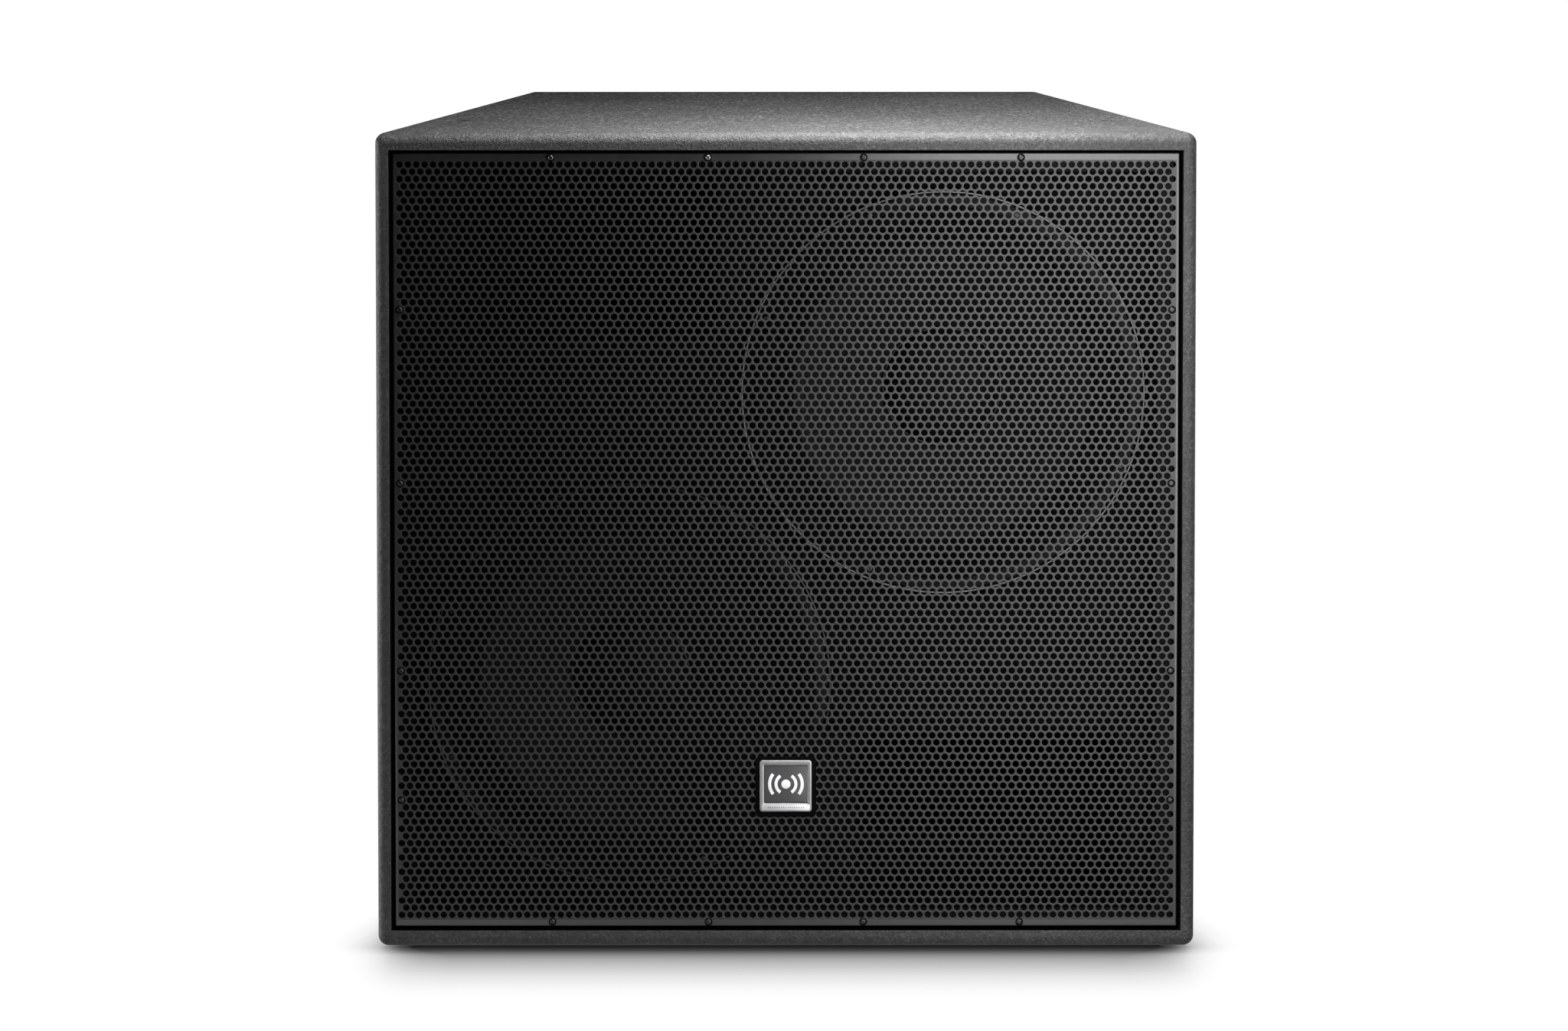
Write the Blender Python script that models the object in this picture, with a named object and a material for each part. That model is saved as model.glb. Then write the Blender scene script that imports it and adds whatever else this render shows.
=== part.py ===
# Trapezoid bass cabinet with two 15-inch cone drivers, two box ports and a perforated steel front.
# Frame: +Z up, front faces -Y, origin at the centre of the base's bounding box. Metres.
import math

import bmesh
import bpy
from mathutils import Vector

for old in list(bpy.data.objects):
    bpy.data.objects.remove(old, do_unlink=True)

# ---- driving dimensions ----
MM = 0.001
WIDTH = 775 * MM  # front face, side to side, over the rounded edges
SHARP = 2.2 * MM  # how far past WIDTH each side's plane meets the front plane, before rounding
HEIGHT = 775 * MM
DEPTH = 600 * MM
TAPER = math.tan(math.radians(12.5))  # each side wall narrows by this per metre of depth
EDGE_R = 10 * MM  # round-over on the outer edges
T_LID = 15.5 * MM  # top and bottom panels
T_SIDE = 18.4 * MM  # side panels, measured along X
T_LIP = 12.5 * MM + SHARP  # side panels in front of the baffle, measured along X
T_REAR = 18 * MM
T_BAFFLE = 18 * MM
BAFFLE_Y = -262 * MM  # front face of the baffle
GAP = 0.3 * MM

GRILLE_Y = -297 * MM  # front face of the grille
GRILLE_T = 1.5 * MM
GRILLE_HW = 371.5 * MM
GRILLE_Z0, GRILLE_Z1 = 19.2 * MM, 755.8 * MM
GRILLE_RETURN = 10 * MM

DRIVERS = {"upper": (149 * MM, 526.5 * MM), "lower": (-149 * MM, 248.5 * MM)}
FRAME_Y = -271 * MM  # front face of the driver frames
CUTOUT_R = 177.5 * MM
SEGS = 32

PORT_X0, PORT_X1 = 70 * MM, 318 * MM  # lower port's clear opening
PORT_Z0, PORT_Z1 = 40 * MM, 195 * MM
PORT_WALL = 9 * MM
PORT_END_Y = -120 * MM
PORT_R = 18 * MM

BADGE_Z = 153 * MM
BADGE = 50.8 * MM

WELL_Z = 215 * MM  # height of the input panel's centre
POINT_R = 11 * MM
POINT_T = 6 * MM
POINT_SINK = 0.4 * MM
POINTS = {"front": (315 * MM, -130 * MM), "rear": (228.5 * MM, 263 * MM)}
REAR_POINT = (185 * MM, 712 * MM)

HZ = HEIGHT / 2
Y0, Y1 = -DEPTH / 2, DEPTH / 2


def half_width(y):
    return WIDTH / 2 + SHARP - (y - Y0) * TAPER


# ---- helpers ----
def link(name, bm, location=(0, 0, 0), smooth=False):
    bmesh.ops.recalc_face_normals(bm, faces=bm.faces[:])
    mesh = bpy.data.meshes.new(name)
    bm.to_mesh(mesh)
    bm.free()
    obj = bpy.data.objects.new(name, mesh)
    bpy.context.scene.collection.objects.link(obj)
    obj.location = location
    if smooth:
        shade(obj)
    return obj


def shade(obj, angle=35.0):
    """Smooth shading with sharp edges where two faces meet at more than the angle."""
    bm = bmesh.new()
    bm.from_mesh(obj.data)
    for f in bm.faces:
        f.smooth = True
    for e in bm.edges:
        e.smooth = not (len(e.link_faces) == 2 and e.calc_face_angle(0.0) > math.radians(angle))
    bm.to_mesh(obj.data)
    bm.free()


def prism_bm(points, lo, hi, axis):
    """Extrudes a closed outline. axis Z takes (x, y) points, axis Y takes (x, z) points."""
    bm = bmesh.new()

    def put(p, t):
        return (p[0], p[1], t) if axis == "Z" else (p[0], t, p[1])

    low = [bm.verts.new(put(p, lo)) for p in points]
    high = [bm.verts.new(put(p, hi)) for p in points]
    bm.faces.new(low)
    bm.faces.new(high[::-1])
    n = len(points)
    for i in range(n):
        j = (i + 1) % n
        bm.faces.new([low[i], high[i], high[j], low[j]])
    return bm


def prism(name, points, lo, hi, axis="Z", location=(0, 0, 0)):
    return link(name, prism_bm(points, lo, hi, axis), location)


def box(name, x, y, z, location=(0, 0, 0)):
    return prism(name, [(x[0], y[0]), (x[1], y[0]), (x[1], y[1]), (x[0], y[1])], z[0], z[1], "Z", location)


def round_rect(x0, x1, z0, z1, r, n=3):
    out = []
    for cx, cz, a0 in ((x1 - r, z0 + r, -90), (x1 - r, z1 - r, 0), (x0 + r, z1 - r, 90), (x0 + r, z0 + r, 180)):
        for k in range(n + 1):
            a = math.radians(a0 + 90.0 * k / n)
            out.append((cx + r * math.cos(a), cz + r * math.sin(a)))
    return out


def revolve(name, profile, location, segs=SEGS, axis="Y", smooth=True):
    """Turns a closed (radius, distance) outline about an axis through the object's origin."""
    bm = bmesh.new()
    rings = []

    def put(r, t, a):
        c, s = r * math.cos(a), r * math.sin(a)
        return (c, t, s) if axis == "Y" else (c, s, t)

    for r, t in profile:
        if r < 1e-7:
            rings.append([bm.verts.new(put(0, t, 0))])
        else:
            rings.append([bm.verts.new(put(r, t, 2 * math.pi * k / segs)) for k in range(segs)])
    n = len(profile)
    for i in range(n):
        a, b = rings[i], rings[(i + 1) % n]
        if len(a) == 1 and len(b) == 1:
            continue
        for k in range(segs):
            m = (k + 1) % segs
            if len(a) == 1:
                bm.faces.new([a[0], b[m], b[k]])
            elif len(b) == 1:
                bm.faces.new([a[k], a[m], b[0]])
            else:
                bm.faces.new([a[k], a[m], b[m], b[k]])
    return link(name, bm, location, smooth)


def mmp(pairs):
    return [(r * MM, t * MM) for r, t in pairs]


def combine(obj, other, operation):
    """Boolean on two objects; the second one is used up."""
    other.hide_render = True
    other.display_type = "WIRE"
    mod = obj.modifiers.new("bool", "BOOLEAN")
    mod.operation = operation
    mod.solver = "EXACT"
    mod.object = other
    graph = bpy.context.evaluated_depsgraph_get()
    graph.update()
    mesh = bpy.data.meshes.new_from_object(obj.evaluated_get(graph))
    obj.modifiers.clear()
    old = obj.data
    obj.data = mesh
    mesh.name = obj.name
    bpy.data.meshes.remove(old)
    used = other.data
    bpy.data.objects.remove(other, do_unlink=True)
    bpy.data.meshes.remove(used)
    tidy(obj)


def tidy(obj):
    """Joins coincident vertices and drops the extra edges on flat faces that a boolean leaves."""
    bm = bmesh.new()
    bm.from_mesh(obj.data)
    bmesh.ops.remove_doubles(bm, verts=bm.verts[:], dist=1e-6)
    bmesh.ops.dissolve_degenerate(bm, dist=1e-6, edges=bm.edges[:])
    bmesh.ops.recalc_face_normals(bm, faces=bm.faces[:])
    bm.to_mesh(obj.data)
    bm.free()


def cut(obj, other):
    combine(obj, other, "DIFFERENCE")


def material(obj, color, rough, metal=0.0):
    mat = bpy.data.materials.new(obj.name)
    mat.use_nodes = True
    node = mat.node_tree.nodes["Principled BSDF"]
    node.inputs["Base Color"].default_value = (*color, 1.0)
    node.inputs["Roughness"].default_value = rough
    node.inputs["Metallic"].default_value = metal
    obj.data.materials.clear()
    obj.data.materials.append(mat)
    return obj


COATING = (0.028, 0.028, 0.030)
STEEL = (0.045, 0.045, 0.047)
CASTING = (0.050, 0.050, 0.052)
PLASTIC = (0.018, 0.018, 0.019)
PAPER = (0.040, 0.040, 0.042)
CLOTH = (0.022, 0.022, 0.023)
FERRITE = (0.060, 0.060, 0.062)
PLATED = (0.55, 0.54, 0.50)
WOOD = (0.30, 0.20, 0.11)
FIBRE = (0.72, 0.71, 0.68)
SILVER = (0.62, 0.62, 0.62)
FIELD = (0.16, 0.16, 0.165)


# ---- wood panels ----
def outer_body():
    bm = prism_bm(
        [(-half_width(Y0), Y0), (half_width(Y0), Y0), (half_width(Y1), Y1), (-half_width(Y1), Y1)], 0, HEIGHT, "Z"
    )
    bmesh.ops.bevel(bm, geom=bm.edges[:], offset=EDGE_R, offset_type="OFFSET", segments=3, profile=0.5, affect="EDGES")
    return link("outer_body", bm)


def outline(y0, y1, inset):
    a, b = half_width(y0) - inset, half_width(y1) - inset
    return [(-a, y0), (a, y0), (b, y1), (-b, y1)]


def point_cutter(x, y, z, axis):
    """The pocket that a suspension insert sits in; (x, y, z) is on the panel's outer face."""
    depth = POINT_T + POINT_SINK + GAP
    r = POINT_R + 0.4 * MM
    lo, hi = {"+Z": (-depth, 0.002), "-Z": (-0.002, depth), "+Y": (-depth, 0.002)}[axis]
    return revolve("cutter", [(0, lo), (r, lo), (r, hi), (0, hi)], (x, y, z), segs=16, axis=axis[1], smooth=False)


top = prism("top_panel", outline(Y0 - 0.02, Y1 + 0.02, -0.0), HEIGHT - T_LID, HEIGHT + 0.01)
bottom = prism("bottom_panel", outline(Y0 - 0.02, Y1 + 0.02, -0.0), -0.01, T_LID)
sides = []
for name, s in (("right_side_panel", 1), ("left_side_panel", -1)):
    step = BAFFLE_Y - GAP
    pts = [
        (half_width(Y0 - 0.02) + 0.01, Y0 - 0.02),
        (half_width(Y1 + 0.02) + 0.01, Y1 + 0.02),
        (half_width(Y1 + 0.02) - T_SIDE, Y1 + 0.02),
        (half_width(step) - T_SIDE, step),
        (half_width(step) - T_LIP, step),
        (half_width(Y0 - 0.02) - T_LIP, Y0 - 0.02),
    ]
    sides.append(prism(name, [(s * x, y) for x, y in pts], T_LID + GAP, HEIGHT - T_LID - GAP))
rear = prism("rear_panel", outline(Y1 - T_REAR, Y1, T_SIDE + GAP), T_LID + GAP, HEIGHT - T_LID - GAP)
for panel in (top, bottom, *sides):
    combine(panel, outer_body(), "INTERSECT")

for place, (px, py) in POINTS.items():
    for sx in (-1, 1):
        cut(top, point_cutter(sx * px, py, HEIGHT, "+Z"))
        cut(bottom, point_cutter(sx * px, py, 0, "-Z"))
for sx in (-1, 1):
    cut(rear, point_cutter(sx * REAR_POINT[0], Y1, REAR_POINT[1], "+Y"))
cut(rear, prism("cutter", round_rect(-0.1005, 0.1005, WELL_Z - 0.0605, WELL_Z + 0.0605, 0.0065), Y1 - POINT_SINK - 0.0036, Y1 + 0.01, "Y"))
cut(rear, prism("cutter", round_rect(-0.0865, 0.0865, WELL_Z - 0.0465, WELL_Z + 0.0465, 0.0065), Y1 - 0.03, Y1 + 0.01, "Y"))

baffle = prism("front_baffle", outline(BAFFLE_Y, BAFFLE_Y + T_BAFFLE, T_SIDE + GAP), T_LID + GAP, HEIGHT - T_LID - GAP)
for cx, cz in DRIVERS.values():
    cut(
        baffle,
        revolve("cutter", [(0, -0.02), (CUTOUT_R, -0.02), (CUTOUT_R, 0.06), (0, 0.06)], (cx, BAFFLE_Y, cz), smooth=False),
    )


def port_outline(grow, flip, n=3):
    pts = round_rect(PORT_X0 - grow, PORT_X1 + grow, PORT_Z0 - grow, PORT_Z1 + grow, PORT_R + grow, n)
    return [(-x, HEIGHT - z) for x, z in pts] if flip else pts


ducts = []
for name, flip in (("lower_port_duct", False), ("upper_port_duct", True)):
    cut(baffle, prism("cutter", port_outline(PORT_WALL + GAP, flip), BAFFLE_Y - 0.01, BAFFLE_Y + 0.05, "Y"))
    duct = prism(name, port_outline(PORT_WALL, flip), BAFFLE_Y, PORT_END_Y, "Y")
    cut(duct, prism("cutter", port_outline(0, flip), BAFFLE_Y - 0.01, PORT_END_Y + 0.01, "Y"))
    ducts.append(duct)

brace = prism("window_brace", outline(0.080, 0.098, T_SIDE + GAP), T_LID + GAP, HEIGHT - T_LID - GAP)
for sx in (-1, 1):
    for z0, z1 in ((0.060, 0.350), (0.425, 0.715)):
        xa, xb = sorted((sx * 0.040, sx * 0.250))
        cut(brace, prism("cutter", round_rect(xa, xb, z0, z1, 0.025), 0.05, 0.13, "Y"))

for panel in (top, bottom, *sides, rear, baffle):
    shade(panel)
    material(panel, COATING, 0.55)
for piece in (*ducts, brace):
    shade(piece)
for duct in ducts:
    material(duct, COATING, 0.6)
material(brace, WOOD, 0.7)

# ---- rails on the baffle that the grille is screwed to ----
rail_y = (GRILLE_Y + GRILLE_T + GAP, BAFFLE_Y - GAP)
rail_x = 0.3662
z_in0, z_in1 = GRILLE_Z0 + GRILLE_T + GAP, GRILLE_Z1 - GRILLE_T - GAP
rails = [
    box("grille_rail_top", (-rail_x, rail_x), rail_y, (z_in1 - 0.016, z_in1)),
    box("grille_rail_bottom", (-rail_x, rail_x), rail_y, (z_in0, z_in0 + 0.016)),
    box("grille_rail_right", (0.351, rail_x), rail_y, (z_in0 + 0.0163, z_in1 - 0.0163)),
    box("grille_rail_left", (-rail_x, -0.351), rail_y, (z_in0 + 0.0163, z_in1 - 0.0163)),
]
for rail in rails:
    material(rail, COATING, 0.7)

# ---- grille and badge ----
grille = box("grille", (-GRILLE_HW, GRILLE_HW), (GRILLE_Y, GRILLE_Y + GRILLE_RETURN), (GRILLE_Z0, GRILLE_Z1))
bm = bmesh.new()
bm.from_mesh(grille.data)
front_edges = [e for e in bm.edges if all(abs(v.co.y - GRILLE_Y) < 1e-6 for v in e.verts)]
bmesh.ops.bevel(bm, geom=front_edges, offset=0.0014, offset_type="OFFSET", segments=2, profile=0.5, affect="EDGES")
bm.to_mesh(grille.data)
bm.free()
cut(
    grille,
    box(
        "cutter",
        (-GRILLE_HW + GRILLE_T, GRILLE_HW - GRILLE_T),
        (GRILLE_Y + GRILLE_T, 0),
        (GRILLE_Z0 + GRILLE_T, GRILLE_Z1 - GRILLE_T),
    ),
)
shade(grille)
material(grille, STEEL, 0.42, 0.6)

b = BADGE / 2
BACKING_Y = GRILLE_Y - GAP - 1.0 * MM
bb = b + 3.4 * MM
backing = prism("badge_backing", round_rect(-bb, bb, BADGE_Z - bb, BADGE_Z + bb, 0.004), BACKING_Y, GRILLE_Y - GAP, "Y")
material(backing, PLASTIC, 0.7)
bezel = prism("badge_bezel", round_rect(-b, b, BADGE_Z - b, BADGE_Z + b, 0.003), -0.2999, BACKING_Y - GAP, "Y")
cut(bezel, prism("cutter", round_rect(-0.0207, 0.0207, BADGE_Z - 0.0150, BADGE_Z + 0.0203, 0.0008, 1), -0.31, -0.29, "Y"))
shade(bezel)
material(bezel, SILVER, 0.35, 0.8)
insert = prism("badge_insert", round_rect(-0.0204, 0.0204, BADGE_Z - 0.0147, BADGE_Z + 0.0200, 0.0006, 1), -0.2994, BACKING_Y - GAP, "Y")
material(insert, FIELD, 0.4)

# ---- suspension points ----
c = 0.0008


def point(name, x, y, z, axis):
    s = -1 if axis == "-Z" else 1
    t = [(0, 0), (POINT_R - c, 0), (POINT_R, -c * s), (POINT_R, -POINT_T * s), (0, -POINT_T * s)]
    off = Vector({"+Z": (0, 0, -POINT_SINK), "-Z": (0, 0, POINT_SINK), "+Y": (0, -POINT_SINK, 0)}[axis])
    obj = revolve(name, t, Vector((x, y, z)) + off, segs=16, axis=axis[1])
    return material(obj, (0.08, 0.08, 0.08), 0.35, 0.9)


for place, (px, py) in POINTS.items():
    for side, sx in (("left", -1), ("right", 1)):
        point(f"top_{place}_{side}_point", sx * px, py, HEIGHT, "+Z")
        point(f"bottom_{place}_{side}_point", sx * px, py, 0, "-Z")
for side, sx in (("left", -1), ("right", 1)):
    point(f"rear_{side}_point", sx * REAR_POINT[0], Y1, REAR_POINT[1], "+Y")

# ---- drivers: profiles are (radius, distance behind the frame's front face) in mm ----
CONE_K = 62.4 / 94.5
PROFILES = {
    "basket": [
        (167, 0), (191.5, 0), (193.5, 2), (193.5, 8.7), (176, 8.7), (171.5, 34), (112, 98.5), (103, 111.7),
        (60, 111.7), (60, 106), (96, 106), (96, 92.3), (108.5, 92.3), (166, 30),
    ],
    "gasket": [(164, -4.0), (179, -4.0), (179, -1.4), (164, -1.4)],
    "surround": [
        (141, 6.4), (147.5, 2.1), (150.5, -3.4), (154.5, -0.9), (158.5, -3.4), (163, -1.1), (178, -1.1),
        (178, -0.3), (162.6, -0.3), (158.5, -2.3), (154.5, 0.1), (150.9, -2.3), (148.1, 2.8), (141, 7.2),
    ],
    "cone": [(147, 3.6), (147, 5.6), (100, 37.6), (52.5, 68.0), (52.5, 66.0), (100, 35.4)],
    "dust_cap": [
        (0, 42.0), (22, 43.8), (40, 49.2), (51, 56.7), (56, 63.1), (53.4, 63.1), (49.2, 57.9), (38.7, 51.0),
        (21.6, 45.7), (0, 43.8),
    ],
    "spider": [
        (52.6, 90.4), (66, 93.6), (80, 87.8), (94, 91.2), (107.4, 91.2), (107.4, 92.0), (94, 92.0), (80, 88.8),
        (66, 94.6), (52.6, 91.4),
    ],
    "voice_coil": [(50, 62), (51.2, 62), (51.2, 104), (52.3, 104), (52.3, 130), (50, 130)],
    "top_plate": [(53.4, 112), (100, 112), (100, 124), (53.4, 124)],
    "magnet": [(62, 124.3), (108, 124.3), (108, 149), (62, 149)],
    "back_plate": [(15, 111), (48.6, 111), (48.6, 149.3), (100, 149.3), (100, 161), (15, 161)],
}
LOOKS = {
    "basket": (CASTING, 0.45, 0.5),
    "gasket": (CLOTH, 0.85, 0.0),
    "surround": (CLOTH, 0.8, 0.0),
    "cone": (PAPER, 0.75, 0.0),
    "dust_cap": (PAPER, 0.6, 0.0),
    "spider": ((0.45, 0.33, 0.12), 0.85, 0.0),
    "voice_coil": ((0.60, 0.32, 0.12), 0.4, 0.6),
    "top_plate": (PLATED, 0.4, 0.9),
    "magnet": (FERRITE, 0.6, 0.0),
    "back_plate": (PLATED, 0.4, 0.9),
}
for which, (cx, cz) in DRIVERS.items():
    for piece, profile in PROFILES.items():
        obj = revolve(f"{which}_{piece}", mmp(profile), (cx, FRAME_Y, cz))
        if piece == "basket":
            bm = bmesh.new()
            for k in range(6):
                a = math.radians(60 * k)
                e, t = Vector((math.cos(a), 0, math.sin(a))), Vector((-math.sin(a), 0, math.cos(a)))
                corners = []
                for r in (0.090, 0.200):
                    for w in (-0.042, 0.042):
                        for u in (0.042, 0.086):
                            corners.append(bm.verts.new(e * r + t * w + Vector((0, u, 0))))
                v = corners
                for f in ((0, 1, 3, 2), (4, 6, 7, 5), (0, 4, 5, 1), (2, 3, 7, 6), (0, 2, 6, 4), (1, 5, 7, 3)):
                    bm.faces.new([v[i] for i in f])
            cut(obj, link("cutter", bm, (cx, FRAME_Y, cz)))
            shade(obj)
        material(obj, *LOOKS[piece])
    # the terminal block sits on the casting's spoke that faces the other driver
    s = -1 if which == "upper" else 1
    block = box(
        f"{which}_terminal_block",
        (-0.015, 0.015),
        (0.070, 0.0985),
        tuple(sorted((s * 0.1405, s * 0.1525))),
        (cx, FRAME_Y, cz),
    )
    material(block, PLASTIC, 0.5)

# ---- input panel at the back ----
yf = Y1 - POINT_SINK
panel = prism("input_panel", round_rect(-0.100, 0.100, WELL_Z - 0.060, WELL_Z + 0.060, 0.006), yf - 0.002, yf, "Y")
combine(panel, prism("part", round_rect(-0.086, 0.086, WELL_Z - 0.046, WELL_Z + 0.046, 0.006), yf - 0.022, yf - 0.001, "Y"), "UNION")
cut(panel, prism("cutter", round_rect(-0.084, 0.084, WELL_Z - 0.044, WELL_Z + 0.044, 0.004), yf - 0.020, yf + 0.01, "Y"))
gasket = prism("input_gasket", round_rect(-0.099, 0.099, WELL_Z - 0.059, WELL_Z + 0.059, 0.006), yf - 0.0033, yf - 0.0023, "Y")
cut(gasket, prism("cutter", round_rect(-0.0865, 0.0865, WELL_Z - 0.0465, WELL_Z + 0.0465, 0.0065), Y1 - 0.03, Y1 + 0.01, "Y"))
shade(gasket)
material(gasket, CLOTH, 0.9)
SOCKET_X, SOCKET_Z = 0.042, WELL_Z + 0.018
floor = yf - 0.020
for sx in (-1, 1):
    cut(panel, revolve("cutter", [(0, -0.02), (0.0123, -0.02), (0.0123, 0.01), (0, 0.01)], (sx * SOCKET_X, floor, SOCKET_Z), segs=16, smooth=False))
shade(panel)
material(panel, STEEL, 0.4, 0.4)
for name, sx in (("input_socket", -1), ("link_socket", 1)):
    at = (sx * SOCKET_X, floor + GAP, SOCKET_Z)
    obj = prism(name, round_rect(-0.013, 0.013, -0.0155, 0.0155, 0.002, 2), 0, 0.003, "Y", at)
    combine(obj, revolve("part", [(0, -0.0179), (0.0119, -0.0179), (0.0119, 0.001), (0, 0.001)], at, segs=16, smooth=False), "UNION")
    cut(obj, revolve("cutter", [(0, -0.012), (0.009, -0.012), (0.009, 0.01), (0, 0.01)], at, segs=16, smooth=False))
    shade(obj)
    material(obj, PLASTIC, 0.4)

STRIP_Z = WELL_Z - 0.024
HINGE_Y, HINGE_Z = floor + 0.0166, STRIP_Z + 0.0105
strip = box("barrier_strip", (-0.042, 0.042), (floor + GAP, floor + 0.0103), (STRIP_Z - 0.012, STRIP_Z + 0.012))
for sx in (-1, 1):
    xa, xb = sorted((sx * 0.038, sx * 0.042))
    combine(strip, box("part", (xa, xb), (floor + 0.009, floor + 0.0189), (STRIP_Z - 0.012, STRIP_Z + 0.012)), "UNION")


PIN_R = 1.2 * MM


def x_pin(name, r, x0, x1, segs=12):
    bm = bmesh.new()
    rings = []
    for x in (x0, x1):
        rings.append(
            [
                bm.verts.new((x, HINGE_Y + r * math.cos(2 * math.pi * k / segs), HINGE_Z + r * math.sin(2 * math.pi * k / segs)))
                for k in range(segs)
            ]
        )
    bm.faces.new(rings[0])
    bm.faces.new(rings[1][::-1])
    for k in range(segs):
        m = (k + 1) % segs
        bm.faces.new([rings[0][k], rings[1][k], rings[1][m], rings[0][m]])
    return link(name, bm)


cut(strip, x_pin("cutter", PIN_R + 0.05 * MM, -0.05, 0.05))
shade(strip)
material(strip, PLASTIC, 0.45)
pin = x_pin("hinge_pin", PIN_R, -0.042, 0.042)
shade(pin)
material(pin, PLATED, 0.3, 0.9)
cover = box("barrier_cover", (-0.0375, 0.0375), (HINGE_Y - 0.001, HINGE_Y + 0.001), (HINGE_Z - 0.0215, HINGE_Z))
combine(cover, x_pin("part", 0.0024, -0.0375, 0.0375), "UNION")
cut(cover, x_pin("cutter", PIN_R + 0.08 * MM, -0.05, 0.05))
for v in cover.data.vertices:
    v.co.y -= HINGE_Y
    v.co.z -= HINGE_Z
cover.location = (0, HINGE_Y, HINGE_Z)
shade(cover)
material(cover, (0.06, 0.06, 0.065), 0.3)


# ---- internal leads and lining ----
def tube(name, points, r, segs=8, steps=2):
    pts = [Vector(p) for p in points]
    line = []
    for i in range(len(pts) - 1):
        p0, p1, p2, p3 = pts[max(i - 1, 0)], pts[i], pts[i + 1], pts[min(i + 2, len(pts) - 1)]
        for k in range(steps):
            t = k / steps
            line.append(
                0.5 * ((2 * p1) + (p2 - p0) * t + (2 * p0 - 5 * p1 + 4 * p2 - p3) * t * t + (3 * p1 - p0 - 3 * p2 + p3) * t**3)
            )
    line.append(pts[-1])
    bm = bmesh.new()
    rings = []
    side = Vector((0, 0, 1))
    for i, p in enumerate(line):
        d = line[min(i + 1, len(line) - 1)] - line[max(i - 1, 0)]
        if i == 0:
            d = pts[1] - pts[0]
        elif i == len(line) - 1:
            d = pts[-1] - pts[-2]
        d.normalize()
        e1 = (side - d * side.dot(d)).normalized()
        e2 = d.cross(e1)
        rings.append([bm.verts.new(p + r * (math.cos(2 * math.pi * k / segs) * e1 + math.sin(2 * math.pi * k / segs) * e2)) for k in range(segs)])
    bm.faces.new(rings[0])
    bm.faces.new(rings[-1][::-1])
    for a, b2 in zip(rings, rings[1:]):
        for k in range(segs):
            m = (k + 1) % segs
            bm.faces.new([a[k], b2[k], b2[m], a[m]])
    return link(name, bm, smooth=True)


start_y = floor + GAP - 0.0179 - GAP
for which, (cx, cz) in DRIVERS.items():
    s = 1 if which == "upper" else -1
    zt = cz - s * 0.1465
    lead = tube(
        f"{which}_lead",
        [
            (s * SOCKET_X, start_y - 0.0005, SOCKET_Z),
            (s * SOCKET_X, start_y - 0.012, SOCKET_Z),
            (s * (SOCKET_X + 0.014), start_y - 0.040, SOCKET_Z + 0.012),
            (s * 0.098, 0.150, 0.300),
            (s * 0.122, 0.040, 0.330),
            (s * 0.146, -0.080, zt - 0.004),
            (cx, -0.140, zt),
            (cx, FRAME_Y + 0.0985 + GAP, zt),
        ],
        0.0035,
    )
    material(lead, (0.02, 0.02, 0.02), 0.6)
lining = box("rear_lining", (-0.200, 0.200), (Y1 - T_REAR - 0.0253, Y1 - T_REAR - GAP), (0.300, 0.735))
material(lining, FIBRE, 0.95)

for mesh in list(bpy.data.meshes):
    if mesh.users == 0:
        bpy.data.meshes.remove(mesh)
count = sum(len(p.vertices) - 2 for o in bpy.data.objects if o.type == "MESH" for p in o.data.polygons)
print("objects", len(bpy.data.objects), "triangles", count)
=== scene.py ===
import math

import bmesh
import bpy
import numpy as np
from mathutils import Matrix, Vector


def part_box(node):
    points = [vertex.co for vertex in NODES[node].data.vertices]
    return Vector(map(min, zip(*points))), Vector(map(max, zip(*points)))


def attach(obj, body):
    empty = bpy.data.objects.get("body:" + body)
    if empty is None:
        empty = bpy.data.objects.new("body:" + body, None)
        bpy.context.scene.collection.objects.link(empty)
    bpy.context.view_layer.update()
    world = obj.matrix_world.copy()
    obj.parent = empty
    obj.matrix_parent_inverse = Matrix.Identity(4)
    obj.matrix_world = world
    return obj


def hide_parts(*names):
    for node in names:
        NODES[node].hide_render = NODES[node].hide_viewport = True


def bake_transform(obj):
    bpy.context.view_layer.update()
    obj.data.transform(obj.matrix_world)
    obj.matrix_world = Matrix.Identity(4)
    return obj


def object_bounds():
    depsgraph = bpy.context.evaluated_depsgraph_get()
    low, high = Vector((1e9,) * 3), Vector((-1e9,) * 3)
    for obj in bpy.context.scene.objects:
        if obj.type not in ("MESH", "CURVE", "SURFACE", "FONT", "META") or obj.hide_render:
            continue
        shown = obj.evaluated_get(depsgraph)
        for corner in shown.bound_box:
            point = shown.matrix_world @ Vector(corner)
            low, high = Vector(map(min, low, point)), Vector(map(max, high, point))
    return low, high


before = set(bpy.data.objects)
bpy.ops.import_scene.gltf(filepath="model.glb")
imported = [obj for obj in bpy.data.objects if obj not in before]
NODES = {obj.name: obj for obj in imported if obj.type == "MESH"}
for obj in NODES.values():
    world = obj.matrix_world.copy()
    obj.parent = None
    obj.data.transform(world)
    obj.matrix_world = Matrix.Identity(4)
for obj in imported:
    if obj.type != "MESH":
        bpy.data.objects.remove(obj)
CAD_LO, CAD_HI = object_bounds()
SCENE = bpy.context.scene
MM = 0.001

# ---------------------------------------------------------------- camera
camera_data = bpy.data.cameras.new("camera")
camera = bpy.data.objects.new("camera", camera_data)
SCENE.collection.objects.link(camera)
camera_data.sensor_width = 36.0
camera_data.lens = 234.061
camera_data.clip_start, camera_data.clip_end = 0.5, 80.0
camera_data.dof.use_dof = False
camera.location = (-0.02638, -9.9, 1.4469)
camera.rotation_euler = (math.pi / 2 - 0.10736, 0.0, -0.00256)
SCENE.camera = camera
SCENE.view_settings.view_transform = "Standard"

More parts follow.
